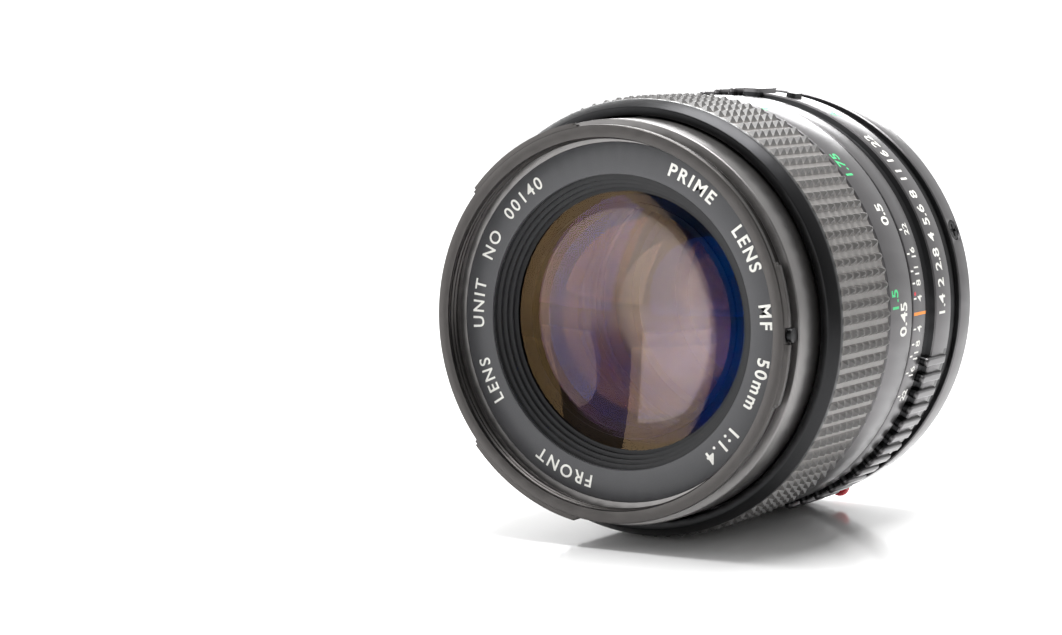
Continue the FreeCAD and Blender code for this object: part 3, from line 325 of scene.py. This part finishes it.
def flat_black(name, tint, roughness, shine=0.35):
    """Matt anti-reflection paint with turning lines under it."""
    shader = Shader(name)
    grain = shader.noise(shader.place(), 6.0, 6.0, 0.75)
    lathe_lines = shader.noise(shader.turned_place(0.2), 5.0, 3.0)
    shader.set(Base_Color=shader.blend(grain, tint, scaled(tint, 1.7)))
    shader.set(Roughness=shader.spread(grain, roughness - 0.08, roughness + 0.1), Specular_IOR_Level=shine)
    height = shader.math("ADD", shader.math("MULTIPLY", lathe_lines, 0.5),
                         shader.math("MULTIPLY", grain, 0.6))
    shader.bump(height, 0.4, 0.02 * MM)
    return shader.material


def bare_metal(name, tint, roughness):
    """Turned or ground bare metal with stains and fine scratches."""
    shader = Shader(name)
    lathe_lines = shader.noise(shader.turned_place(0.3), 9.0, 5.0, 0.7)
    stain = shader.noise(shader.place(), 0.6, 4.0)
    shader.set(Base_Color=shader.blend(stain, scaled(tint, 0.7), tint), Metallic=1.0)
    shader.set(Roughness=shader.spread(lathe_lines, roughness - 0.08, roughness + 0.12))
    shader.bump(lathe_lines, 0.3, 0.015 * MM)
    return shader.material


def rubber_material():
    """Moulded rubber: a fine grain, a dull bloom, and a lighter colour in the valleys between the studs as
    painted sheen.
    """
    shader = Shader("rubber")
    place = shader.place()
    grain = shader.noise(place, 14.0, 5.0, 0.7)
    bloom = shader.noise(place, 0.5, 4.0)
    radius = shader.ring_parts()[0]
    top = GRIP_RADIUS / MM
    # Painted sheen: the valleys between the studs are made lighter than the rubber.
    valley = shader.math("SUBTRACT", 1.0, shader.above(radius, top - 0.74, top - 0.45))
    dust_and_sheen = shader.math("MULTIPLY", valley, shader.spread(shader.noise(place, 2.5), 0.55, 1.0))
    colour = shader.blend(bloom, RUBBER_DARK, RUBBER_LIGHT)
    colour = shader.blend(shader.math("MULTIPLY", dust_and_sheen, 0.55), colour, GRIP_VALLEY_SHEEN)
    shader.set(Base_Color=colour, Specular_IOR_Level=0.6)
    shader.set(Roughness=shader.spread(grain, 0.34, 0.48))
    shader.bump(grain, 0.3, 0.02 * MM)
    return shader.material


def paint_material(name, colour, roughness=0.45):
    """Enamel run into an engraved mark: slightly uneven, with pinholes."""
    shader = Shader(name)
    place = shader.place()
    mottle = shader.noise(place, 3.5, 4.0)
    holes = shader.above(shader.noise(place, 11.0, 3.0), 0.70, 0.78)
    tone = shader.blend(mottle, scaled(colour, 0.8), colour)
    shader.set(Base_Color=shader.blend(shader.math("MULTIPLY", holes, 0.5), tone, PINHOLE))
    shader.set(Roughness=shader.spread(mottle, roughness - 0.08, roughness + 0.12))
    shader.bump(mottle, 0.25, 0.01 * MM)
    return shader.material


def glass_material(name, index, film_nm, tint):
    """Coated optical glass. The film's thickness sets the colour of its reflection."""
    shader = Shader(name)
    place = shader.place()
    haze = shader.noise(place, 0.35, 4.0)
    specks = shader.above(shader.noise(place, 3.1, 2.0, 0.4), 0.785, 0.80)
    shader.set(Base_Color=tint, Transmission_Weight=1.0, IOR=index)
    shader.set(Thin_Film_IOR=1.38, Thin_Film_Thickness=shader.spread(haze, film_nm - 8, film_nm + 8))
    shader.set(Roughness=shader.math("MULTIPLY", specks, 0.25))
    return shader.material


SATIN_TINT = (0.136, 0.132, 0.135, 1.0)
SATIN_ROUGHNESS = 0.33
SATIN = anodised("satin_black", SATIN_TINT, SATIN_ROUGHNESS)
# Painted shade: the focus ring's front bevel and the groove wall before it are coloured dead black.
FOCUS_FINISH_SHADED_BEVEL = anodised("focus_ring_black_shaded_bevel", SATIN_TINT, SATIN_ROUGHNESS, blackened=before(BEVEL_REAR))
APERTURE_FINISH = anodised("aperture_ring_black", SATIN_TINT, SATIN_ROUGHNESS, blackened=aperture_black)
REAR_FINISH = anodised("rear_barrel_black", SATIN_TINT, SATIN_ROUGHNESS, blackened=before(REAR_LAND))
# Painted light: the front barrel is one satin black finish. Its cylinder behind the hood groove gets the
# lighter tint as painted sheen, and the lip, hood lugs and groove get the darker tint as painted shade.
FRONT_SHEEN_TINT = (0.210, 0.203, 0.200, 1.0)
LIP_SHADE_TINT = (0.070, 0.066, 0.064, 1.0)
SATIN_FRONT_SHEEN_AND_SHADE = anodised("satin_black_front_sheen_and_shade", FRONT_SHEEN_TINT, 0.36, blackened=before(HOOD_GROOVE_REAR),
                       black=LIP_SHADE_TINT)
DARK_BAND = anodised("dull_black", (0.030, 0.030, 0.031, 1.0), 0.38, wear=0.4)
NAME_FINISH = flat_black("name_ring_black", (0.052, 0.052, 0.055, 1.0), 0.42)
INNER_BLACK = flat_black("inner_black", (0.010, 0.010, 0.011, 1.0), 0.55)
CELL_BLACK = flat_black("cell_black", (0.0035, 0.0025, 0.0035, 1.0), 0.62, 0.12)
RUBBER = rubber_material()
STEEL = bare_metal("ground_steel", (0.55, 0.55, 0.56, 1.0), 0.32)
LUG_STEEL = bare_metal("satin_chrome", (0.60, 0.59, 0.57, 1.0), 0.28)
BRASS = bare_metal("brass", (0.70, 0.50, 0.22, 1.0), 0.30)
BLADE_STEEL = bare_metal("blackened_steel", (0.09, 0.09, 0.10, 1.0), 0.38)
WHITE_PAINT = paint_material("white_enamel", (0.86, 0.85, 0.80, 1.0))
GREEN_PAINT = paint_material("green_enamel", (0.05, 0.62, 0.22, 1.0))
ORANGE_PAINT = paint_material("orange_enamel", (0.95, 0.30, 0.03, 1.0))
RED_PAINT = paint_material("red_enamel", (0.72, 0.012, 0.03, 1.0), 0.22)


# ---- Camera, floor and light --------------------------------------------------------------
CAMERA_ANGLES = (32.0, 5.91, -0.19)       # azimuth, elevation and roll in degrees
CAMERA_DISTANCE = 387.75 * MM             # from the middle of the front lip
CAMERA_SHIFT = (-10.18 * MM, 1.08 * MM)   # sideways and upwards, so the lens stands right of the middle
SENSOR_WIDTH, FOCAL_LENGTH = 36.0, 95.13


def make_camera():
    """Stands to the right of the front, a little above the axis, and looks slightly past the lens."""
    azimuth, elevation, roll = (math.radians(angle) for angle in CAMERA_ANGLES)
    sideways, upwards = CAMERA_SHIFT
    back = Vector((math.sin(azimuth) * math.cos(elevation), -math.cos(azimuth) * math.cos(elevation),
                   math.sin(elevation)))
    right = Vector((0, 0, 1)).cross(back).normalized()
    up = back.cross(right)
    right, up = (right * math.cos(roll) + up * math.sin(roll), up * math.cos(roll) - right * math.sin(roll))
    data = bpy.data.cameras.new("camera")
    data.sensor_width, data.lens = SENSOR_WIDTH, FOCAL_LENGTH
    data.clip_start, data.clip_end = 0.01, 20.0
    camera = bpy.data.objects.new("camera", data)
    place = Vector((0, FRONT_LIP, 0)) + back * CAMERA_DISTANCE + right * sideways + up * upwards
    camera.matrix_world = Matrix.Translation(place) @ Matrix((right, up, back)).transposed().to_4x4()
    bpy.context.scene.collection.objects.link(camera)
    bpy.context.scene.camera = camera


FLOOR_WHITE = (0.93, 0.93, 0.93, 1.0)
FLOOR_REACH = 6.0


def make_floor():
    """A white, slightly glossy table."""
    shader = Shader("floor_white")
    mottle = shader.noise(shader.place(), 0.02, 3.0)
    shader.set(Base_Color=FLOOR_WHITE, Roughness=shader.spread(mottle, 0.07, 0.11))
    mesh = bpy.data.meshes.new("floor")
    corners = [(x * FLOOR_REACH, y * FLOOR_REACH, FLOOR_HEIGHT)
               for x, y in ((-1, -1), (1, -1), (1, 1), (-1, 1))]
    mesh.from_pydata(corners, [], [(0, 1, 2, 3)])
    mesh.materials.append(shader.material)
    floor = bpy.data.objects.new("floor", mesh)
    bpy.context.scene.collection.objects.link(floor)


# Name, place, width, height, power in watts and shape. Each light aims at the middle of the lens.
LIGHTS = (
    ("rear_softbox", (-0.44, 0.80, 0.44), 0.62, 0.50, 6.6, "RECTANGLE"),
    ("overhead_softbox", (0.0, 0.0, 0.75), 0.50, 0.40, 10.0, "RECTANGLE"),
    ("window_panel", (-0.86, -0.66, 0.28), 0.95, 0.95, 6.5, "RECTANGLE"),
    ("front_umbrella", (0.16, -1.05, 0.10), 0.90, 0.90, 2.6, "DISK"),
)
LENS_MIDDLE = (0, -0.02, 0)
BRIGHT_SIDE = (-0.35, 0.90, 0.25)         # the room is brightest on this side
ROOM_RAMP = (-0.55, 0.45)                 # how far towards that side the brightening starts and ends
ROOM_DARKEST, ROOM_BRIGHTEST = 0.22, 1.15


def area_light(name, place, width, height, power, shape):
    """A light panel that faces the lens."""
    data = bpy.data.lights.new(name, "AREA")
    data.shape = shape
    data.size, data.size_y, data.energy = width, height, power
    light = bpy.data.objects.new(name, data)
    light.location = place
    light.rotation_mode = "QUATERNION"
    light.rotation_quaternion = (Vector(place) - Vector(LENS_MIDDLE)).to_track_quat("Z", "Y")
    bpy.context.scene.collection.objects.link(light)


def make_light():
    """A white room that is darker on the viewer's side, and the light panels."""
    scene = bpy.context.scene
    world = bpy.data.worlds.new("studio")
    scene.world = world
    world.use_nodes = True
    nodes, links = world.node_tree.nodes, world.node_tree.links
    coordinates = nodes.new("ShaderNodeTexCoord")
    dot = nodes.new("ShaderNodeVectorMath")
    dot.operation = "DOT_PRODUCT"
    dot.inputs[1].default_value = BRIGHT_SIDE
    ramp = nodes.new("ShaderNodeMapRange")
    ramp.inputs["From Min"].default_value = ROOM_RAMP[0]
    ramp.inputs["From Max"].default_value = ROOM_RAMP[1]
    ramp.inputs["To Min"].default_value = ROOM_DARKEST
    ramp.inputs["To Max"].default_value = ROOM_BRIGHTEST
    links.new(coordinates.outputs["Generated"], dot.inputs[0])
    links.new(dot.outputs["Value"], ramp.inputs["Value"])
    links.new(ramp.outputs[0], nodes["Background"].inputs["Strength"])
    nodes["Background"].inputs["Color"].default_value = (1.0, 1.0, 1.0, 1.0)
    for light in LIGHTS:
        area_light(*light)
    scene.view_settings.view_transform = "Standard"


# ---- CAD nodes that stay ------------------------------------------------------------------
CAD_FINISHES = {
    SATIN: ["depth_scale_ring"],
    FOCUS_FINISH_SHADED_BEVEL: ["focus_ring"],
    APERTURE_FINISH: ["aperture_ring"],
    REAR_FINISH: ["rear_barrel"],
    SATIN_FRONT_SHEEN_AND_SHADE: ["front_barrel"],
    NAME_FINISH: ["name_ring"],
    DARK_BAND: ["barrel_screws", "ae_lock_button", "hood_pin"],
    INNER_BLACK: ["main_barrel", "front_retaining_ring", "lens_carrier", "rear_retaining_ring",
                  "rear_baffle"],
    CELL_BLACK: ["front_cell", "front_spacer", "diaphragm_housing", "diaphragm_cover", "rear_cell",
                 "rear_group_ring", "rear_spacer"],
    STEEL: ["key_screws", "click_spring", "click_ball", "focus_stop", "core_retaining_ring",
            "release_spring", "focus_screws", "ae_button_spring", "max_aperture_pin", "ae_switch_pin",
            "stop_down_lever", "signal_lever", "drive_ring"],
    LUG_STEEL: ["bayonet_ring", "bayonet_screws", "mount_core", "baffle_screws", "release_button"],
    BRASS: ["focus_helicoid", "focus_keys"],
    BLADE_STEEL: ["blade_" + str(number) for number in range(1, 9)],
    RED_PAINT: ["red_index_dot"],
}
WELD_DISTANCE = 0.002 * MM
ROUNDED_ANGLE, CRISP_ANGLE = math.radians(28), math.radians(30)
# Widths in millimetres of the small rounded edges on the pieces that are seen.
BEVEL_WIDTHS = {"front_barrel": 0.10, "focus_ring": 0.10, "aperture_ring": 0.10, "rear_barrel": 0.10,
                "depth_scale_ring": 0.06, "name_ring": 0.05, "barrel_screws": 0.06, "ae_lock_button": 0.15,
                "bayonet_ring": 0.10, "mount_core": 0.08, "front_retaining_ring": 0.05, "hood_pin": 0.10}


def finish_cad_nodes():
    """Gives each kept CAD node its material, welded corners and small rounded edges."""
    for material, names in CAD_FINISHES.items():
        for name in names:
            node = frame["nodes"][name]
            node.data.materials.clear()
            node.data.materials.append(material)
            node.data.shade_smooth()
            weld = node.modifiers.new("weld", "WELD")
            weld.merge_threshold = WELD_DISTANCE
            if name in BEVEL_WIDTHS:
                bevel = node.modifiers.new("rounded_edges", "BEVEL")
                bevel.width = BEVEL_WIDTHS[name] * MM
                bevel.segments = 2
                bevel.limit_method = "ANGLE"
                bevel.angle_limit = ROUNDED_ANGLE
                bevel.harden_normals = True
            else:
                split = node.modifiers.new("crisp_edges", "EDGE_SPLIT")
                split.split_angle = CRISP_ANGLE


# ---- Rubber grip --------------------------------------------------------------------------
GRIP_COLUMNS, GRIP_ROWS = 7, 96
VALLEY_DEPTH = 0.78 * MM
SLEEVE_DEPTH = 1.3 * MM
STUD_ROUNDING = 0.035 * MM
STUD_SHARP_ANGLE = 12.0       # edges that turn by more degrees than this are crisp and rounded
# Half width round the ring and along the axis, as shares of a pitch, and height above the valley.
STUD_LEVELS = ((0.33, 0.475, -0.05), (0.32, 0.465, 0.03), (0.07, 0.07, 0.76))


def make_grip():
    """The sleeve: rows of square pyramids with blunt tops, on a thin base."""
    base, inner = GRIP_RADIUS - VALLEY_DEPTH, GRIP_RADIUS - SLEEVE_DEPTH
    outline = [(inner, GRIP_FRONT), (base, GRIP_FRONT), (base, GRIP_REAR), (inner, GRIP_REAR)]
    sleeve = lathe("grip_sleeve", outline, "focus_ring", RUBBER, 4 * GRIP_ROWS)
    vertices, faces = [], []
    pitch = (GRIP_REAR - GRIP_FRONT) / GRIP_COLUMNS
    turn = FULL_TURN / GRIP_ROWS
    for row in range(GRIP_ROWS):
        for column in range(GRIP_COLUMNS):
            middle_y = GRIP_FRONT + (column + 0.5) * pitch
            middle = (row + 0.5) * turn
            start = len(vertices)
            for across, along, radius in STUD_LEVELS:
                for side, rise in ((-1, -1), (1, -1), (1, 1), (-1, 1)):
                    vertices.append(on_axis(base + radius * MM, middle + side * across * turn,
                                            middle_y + rise * along * pitch))
            for level in (0, 4):
                low, high = start + level, start + level + 4
                faces += [[low + k, low + (k + 1) % 4, high + (k + 1) % 4, high + k] for k in range(4)]
            faces.append([start + 8 + k for k in range(4)])
    studs = new_object("grip_studs", vertices, faces, "focus_ring", RUBBER)
    shade(studs, STUD_SHARP_ANGLE)
    soft = studs.modifiers.new("moulded_edges", "BEVEL")
    soft.width = STUD_ROUNDING
    soft.segments = 2
    soft.limit_method = "ANGLE"
    soft.angle_limit = math.radians(STUD_SHARP_ANGLE)
    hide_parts("focus_grip")
    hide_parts("focus_grip")


# ---- Filter thread ------------------------------------------------------------------------
def make_filter_thread():
    """The helical 0.75 mm thread inside the front rim."""
    pitch, depth, root = 0.75 * MM, 0.28 * MM, FILTER_RADIUS - 0.01 * MM
    front, rear = FRONT_LIP + 0.30 * MM, FRONT_LIP + 2.46 * MM
    segments, rows_per_turn, fade_rows = 240, 8, 4
    rows = int((rear - front) / pitch * rows_per_turn)
    vertices, faces = [], []
    for k in range(segments):
        angle = FULL_TURN * k / segments
        for row in range(rows + 1):
            y = front + (rear - front) * row / rows
            phase = ((y - front) / pitch + k / segments) % 1.0
            crest = 1.0 - abs(2.0 * phase - 1.0)
            fade = min(1.0, row / fade_rows, (rows - row) / fade_rows)
            vertices.append(on_axis(root - depth * crest * fade, angle, y))
    span = rows + 1
    for k in range(segments):
        after = (k + 1) % segments
        faces += [[k * span + row, k * span + row + 1, after * span + row + 1, after * span + row]
                  for row in range(rows)]
    # The filter thread lies in front of the hood groove, so it takes the front barrel's darker tint of
    # painted shade.
    piece = new_object("filter_thread", vertices, faces, "lens_unit", SATIN_FRONT_SHEEN_AND_SHADE)
    for face in piece.data.polygons:
        face.use_smooth = True


# ---- Lettering and marks ------------------------------------------------------------------
CAP_HEIGHT = 0.69             # height of a capital in the built-in font at size 1


def text_mesh(words, height, weight, spacing):
    """Flat lettering as (vertices, faces), centred, with capitals of a given height."""
    curve = bpy.data.curves.new("lettering", "FONT")
    curve.body = words
    curve.size = 1.0
    curve.offset = weight
    curve.space_character = spacing
    curve.align_x, curve.align_y = "CENTER", "CENTER"
    curve.resolution_u = 6
    letter = bpy.data.objects.new("lettering", curve)
    bpy.context.scene.collection.objects.link(letter)
    bpy.context.view_layer.update()
    mesh = bpy.data.meshes.new_from_object(letter.evaluated_get(bpy.context.evaluated_depsgraph_get()))
    bpy.data.objects.remove(letter)
    work = bmesh.new()
    work.from_mesh(mesh)
    bmesh.ops.remove_doubles(work, verts=work.verts, dist=1e-4)
    bmesh.ops.triangulate(work, faces=work.faces)
    scale = height / CAP_HEIGHT
    vertices = [(v.co.x * scale, v.co.y * scale) for v in work.verts]
    faces = [[v.index for v in face.verts] for face in work.faces]
    work.free()
    bpy.data.meshes.remove(mesh)
    return vertices, faces


def bar_mesh(length, width, pieces=6):
    """A flat bar along x."""
    vertices = [(length * (k / pieces - 0.5), side * width / 2)
                for k in range(pieces + 1) for side in (-1, 1)]
    faces = [[2 * k, 2 * k + 2, 2 * k + 3, 2 * k + 1] for k in range(pieces)]
    return vertices, faces


def along_axis(flat):
    """A flat shape with its two directions exchanged."""
    points, faces = flat
    return [(y, x) for x, y in points], faces


def disc_mesh(radius, corners=20):
    """A flat round dot."""
    vertices = [(radius * math.cos(FULL_TURN * k / corners), radius * math.sin(FULL_TURN * k / corners))
                for k in range(corners)]
    return vertices, [list(range(corners))]


def add_mark(name, flat, wrap, body, material):
    """A flat shape wrapped on to a surface as a thin raised layer of paint."""
    points, faces = flat
    lower = [wrap(x, y, -PAINT) for x, y in points]
    upper = [wrap(x, y, PAINT) for x, y in points]
    count = len(points)
    seen = {}
    for face in faces:
        for start, end in zip(face, face[1:] + face[:1]):
            seen[(start, end)] = seen.get((start, end), 0) + 1
    rims = [(start, end) for start, end in seen if (end, start) not in seen]
    walls = [[start, end, end + count, start + count] for start, end in rims]
    layers = [[corner + count for corner in face] for face in faces]
    layers += [list(reversed(face)) for face in faces]
    piece = new_object(name, lower + upper, layers + walls, body, material)
    shade(piece, 40.0)


def round_ring(radius, degrees, y):
    """Wraps on to a ring's outside: x runs up the angle and the tops of letters face the front."""
    start = math.radians(degrees)
    return lambda across, up, rise: on_axis(radius + rise, start + across / radius, y - up)


def round_face(radius, degrees, y):
    """Wraps on to a face that looks forwards: the words read clockwise with their tops outwards."""
    start = math.radians(degrees)
    return lambda across, up, rise: on_axis(radius + up, start - across / radius, y - rise)


NAME_HEIGHT, NAME_SPACING = 1.75 * MM, 1.28
# Each word round the glass, the angle of its middle and the weight of its strokes.
NAME_WORDS = [("PRIME", 59.5, 0.024), ("LENS", 29.0, 0.024), ("MF", 5.0, 0.024), ("50mm", -18.5, 0.024),
              ("1:1.4", -44.0, 0.024), ("FRONT", -112.5, 0.014), ("LENS", -156.0, 0.012),
              ("UNIT", -184.0, 0.012), ("NO", -206.0, 0.012), ("00140", -227.5, 0.012)]


def make_name():
    """The words round the front glass."""
    radius = (NAME_HOLE_RADIUS + NAME_RADIUS) / 2 + 0.05 * MM
    for index, (word, degrees, weight) in enumerate(NAME_WORDS):
        flat = text_mesh(word, NAME_HEIGHT, weight, NAME_SPACING)
        at = round_face(radius, degrees, NAME_FRONT)
        add_mark("name_word_" + str(index + 1), flat, at, "lens_unit", WHITE_PAINT)


F_STOPS = ["1.4", "2", "2.8", "4", "5.6", "8", "11", "16", "22"]
F_STOP_START, F_STOP_STEP, F_AUTO_ANGLE = 1.1, 6.2, 64.0    # degrees round the ring
F_STOP_LINE = APERTURE_REAR - 3.15 * MM
# Each kind of lettering: height of its capitals, weight of its strokes and spacing.
F_STOP_TYPE = (1.95 * MM, 0.016, 1.0)
AUTO_TYPE = (2.2 * MM, 0.016, 1.0)
DEPTH_TYPE = (1.35 * MM, 0.012, 0.95)
METRE_TYPE = (2.0 * MM, 0.022, 1.0)
FEET_TYPE = (1.95 * MM, 0.016, 1.0)


def make_aperture_numbers():
    """The f-stops in white, and the green letter of the automatic setting."""
    for index, number in enumerate(F_STOPS):
        at = round_ring(LAND_RADIUS, F_STOP_START + F_STOP_STEP * index, F_STOP_LINE)
        flat = text_mesh(number, *F_STOP_TYPE)
        add_mark("f_stop_" + str(index + 1), flat, at, "aperture_ring", WHITE_PAINT)
    at = round_ring(LAND_RADIUS, F_AUTO_ANGLE, F_STOP_LINE)
    add_mark("f_stop_auto", text_mesh("A", *AUTO_TYPE), at, "aperture_ring", GREEN_PAINT)


# Each depth-of-field number and its angle on either side of the index line.
DEPTH_MARKS = [("4", 4.1), ("8", 8.2), ("11", 11.5), ("16", 16.2), ("22", 23.0)]
TICK_LINE, DEPTH_LINE = DEPTH_FRONT + 0.65 * MM, DEPTH_FRONT + 2.3 * MM
INFRARED_ANGLE, INFRARED_LINE = 5.4, DEPTH_FRONT + 0.75 * MM


def make_depth_marks():
    """The orange index line, the white ticks with their numbers and the red infrared dot."""
    length = DEPTH_REAR - DEPTH_FRONT - 0.3 * MM
    middle = (DEPTH_FRONT + DEPTH_REAR) / 2
    line = along_axis(bar_mesh(length, 0.45 * MM))
    add_mark("index_line", line, round_ring(DEPTH_RADIUS, 0.0, middle), "barrel", ORANGE_PAINT)
    tick = along_axis(bar_mesh(0.85 * MM, 0.25 * MM))
    for number, degrees in DEPTH_MARKS:
        for side in (-1, 1):
            name = "depth_" + number + ("_up" if side > 0 else "_down")
            at = round_ring(DEPTH_RADIUS, side * degrees, TICK_LINE)
            add_mark(name + "_tick", tick, at, "barrel", WHITE_PAINT)
            at = round_ring(DEPTH_RADIUS, side * degrees, DEPTH_LINE)
            add_mark(name, text_mesh(number, *DEPTH_TYPE), at, "barrel", WHITE_PAINT)
    at = round_ring(DEPTH_RADIUS, INFRARED_ANGLE, INFRARED_LINE)
    add_mark("infrared_dot", disc_mesh(0.3 * MM), at, "barrel", RED_PAINT)


FOCAL_MM, NEAREST_MM, THROW_DEGREES = 50.0, 450.0, 220.0
METRES_PER_FOOT = 0.3048
METRES = ["0.45", "0.5", "0.6", "0.7", "0.8", "1", "1.2", "1.5", "2", "3", "5", "10"]
FEET = ["1.5", "1.75", "2", "2.5", "3", "4", "5", "7", "10", "20"]
METRE_LINE, FEET_LINE = FOCUS_REAR - 2.9 * MM, FOCUS_REAR - 5.6 * MM
METRE_SHIFT = -0.6            # degrees from a distance's place to the middle of its metre figures


def extension(distance):
    """How far a thin lens stands forward for a distance from subject to film, in millimetres."""
    return (distance - 2 * FOCAL_MM - math.sqrt(distance * distance - 4 * distance * FOCAL_MM)) / 2


def scale_angle(metres):
    """Where a distance stands on the focus ring."""
    return THROW_DEGREES * (1 - extension(metres * 1000.0) / extension(NEAREST_MM))


def loop_mesh(side, corners=24):
    """One of the two round loops of the infinity sign, left or right of its middle."""
    outer, inner, shift = 0.75 * MM, 0.42 * MM, side * 0.68 * MM
    directions = [(math.cos(FULL_TURN * k / corners), math.sin(FULL_TURN * k / corners))
                  for k in range(corners)]
    vertices = [(x * radius + shift, y * radius) for radius in (outer, inner) for x, y in directions]
    faces = [[k, (k + 1) % corners, corners + (k + 1) % corners, corners + k] for k in range(corners)]
    return vertices, faces


def make_distance_scale():
    """The distances in metres and feet, each with an infinity sign at the far end."""
    for number in METRES:
        at = round_ring(FOCUS_RADIUS, scale_angle(float(number)) + METRE_SHIFT, METRE_LINE)
        add_mark("metres_" + number, text_mesh(number, *METRE_TYPE), at, "focus_ring", WHITE_PAINT)
    for number in FEET:
        at = round_ring(FOCUS_RADIUS, scale_angle(float(number) * METRES_PER_FOOT), FEET_LINE)
        add_mark("feet_" + number, text_mesh(number, *FEET_TYPE), at, "focus_ring", GREEN_PAINT)
    for name, y, material in (("metres_far", METRE_LINE, WHITE_PAINT), ("feet_far", FEET_LINE, GREEN_PAINT)):
        at = round_ring(FOCUS_RADIUS, THROW_DEGREES, y)
        add_mark(name + "_left", loop_mesh(-1), at, "focus_ring", material)
        add_mark(name + "_right", loop_mesh(1), at, "focus_ring", material)


# ---- Glass --------------------------------------------------------------------------------
# How far each front vertex lies behind the first one, axial thickness, front and rear curve radius,
# rim radius, front and rear clear radius, refractive index and coating thickness in nanometres.
ELEMENTS = {
    "lens_element_1": (0.0, 4.8, 43.0, 210.0, 19.2, 19.2, 19.2, 1.79, 114),
    "lens_element_2": (5.0, 5.2, 26.0, 62.0, 16.2, 16.2, 16.2, 1.79, 90),
    "lens_element_3": (10.7, 1.4, 75.0, 16.5, 14.6, 14.6, 12.6, 1.69, 120),
    "lens_element_4": (27.84, 1.3, -17.5, 85.0, 13.0, 11.3, 13.0, 1.73, 110),
    "lens_element_5": (29.14, 6.0, 85.0, -27.0, 13.0, 13.0, 13.0, 1.77, 126),
    "lens_element_6": (35.4, 3.0, -80.0, -34.0, 14.2, 14.2, 14.2, 1.79, 100),
    "lens_element_7": (38.6, 3.0, 130.0, -75.0, 14.2, 14.2, 14.2, 1.74, 116),
}
REAR_GROUP = 20.0             # the elements that lie further back than this have the rear tint
FRONT_GLASS_TINT = (0.965, 0.945, 0.965, 1.0)
REAR_GLASS_TINT = (0.90, 0.83, 0.85, 1.0)
GLASS_GAP = 0.005             # how far the visual glass stays inside the CAD element, at each face
RIM_BLACK = (0.003, 0.002, 0.003, 1.0)


def curve_points(vertex, curve, clear, count=28):
    """A spherical surface from the axis out to its clear radius."""
    points = []
    for k in range(count + 1):
        radius = clear * k / count
        sag = curve - math.copysign(math.sqrt(curve * curve - radius * radius), curve)
        points.append((radius, vertex + sag))
    return points


def element_outline(vertex, thickness, front, rear, rim, front_clear, rear_clear):
    """Half of an element's section, with a flat round any face that is smaller than the rim."""
    front_line = curve_points(vertex + GLASS_GAP, front, front_clear)
    rear_line = curve_points(vertex + thickness - GLASS_GAP, rear, rear_clear)
    outline = list(front_line)
    if front_clear < rim:
        outline.append((rim, front_line[-1][1]))
    if rear_clear < rim:
        outline.append((rim, rear_line[-1][1]))
    outline += list(reversed(rear_line))
    return [(radius * MM, y * MM) for radius, y in outline]


def paint_rim(piece, paint, front_clear, rear_clear):
    """Blackens an element's ground rim and flats, outside its clear faces."""
    piece.data.materials.append(paint)
    corners = piece.data.vertices
    edge = (min(front_clear, rear_clear) - 0.02) * MM
    for face in piece.data.polygons:
        nearest = min(math.hypot(corners[i].co.x, corners[i].co.z) for i in face.vertices)
        if nearest > edge and (abs(face.normal.y) < 0.3 or front_clear != rear_clear):
            face.material_index = 1


def make_glass():
    """The seven elements."""
    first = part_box("lens_element_1")[0].y / MM
    paint = flat_black("glass_edge_black", RIM_BLACK, 0.6, 0.1)
    for node, (behind, *shape, index, film) in ELEMENTS.items():
        outline = element_outline(first + behind, *shape)
        tint = REAR_GLASS_TINT if behind > REAR_GROUP else FRONT_GLASS_TINT
        glass = glass_material("glass_" + node[-1], index, film, tint)
        piece = lathe(node + "_glass", outline, "lens_unit", glass, 160)
        paint_rim(piece, paint, *shape[-2:])
        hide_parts(node)


# ---- The whole scene ----------------------------------------------------------------------
make_camera()
make_floor()
make_light()
finish_cad_nodes()
make_grip()
make_filter_thread()
make_glass()
make_name()
make_aperture_numbers()
make_depth_marks()
make_distance_scale()
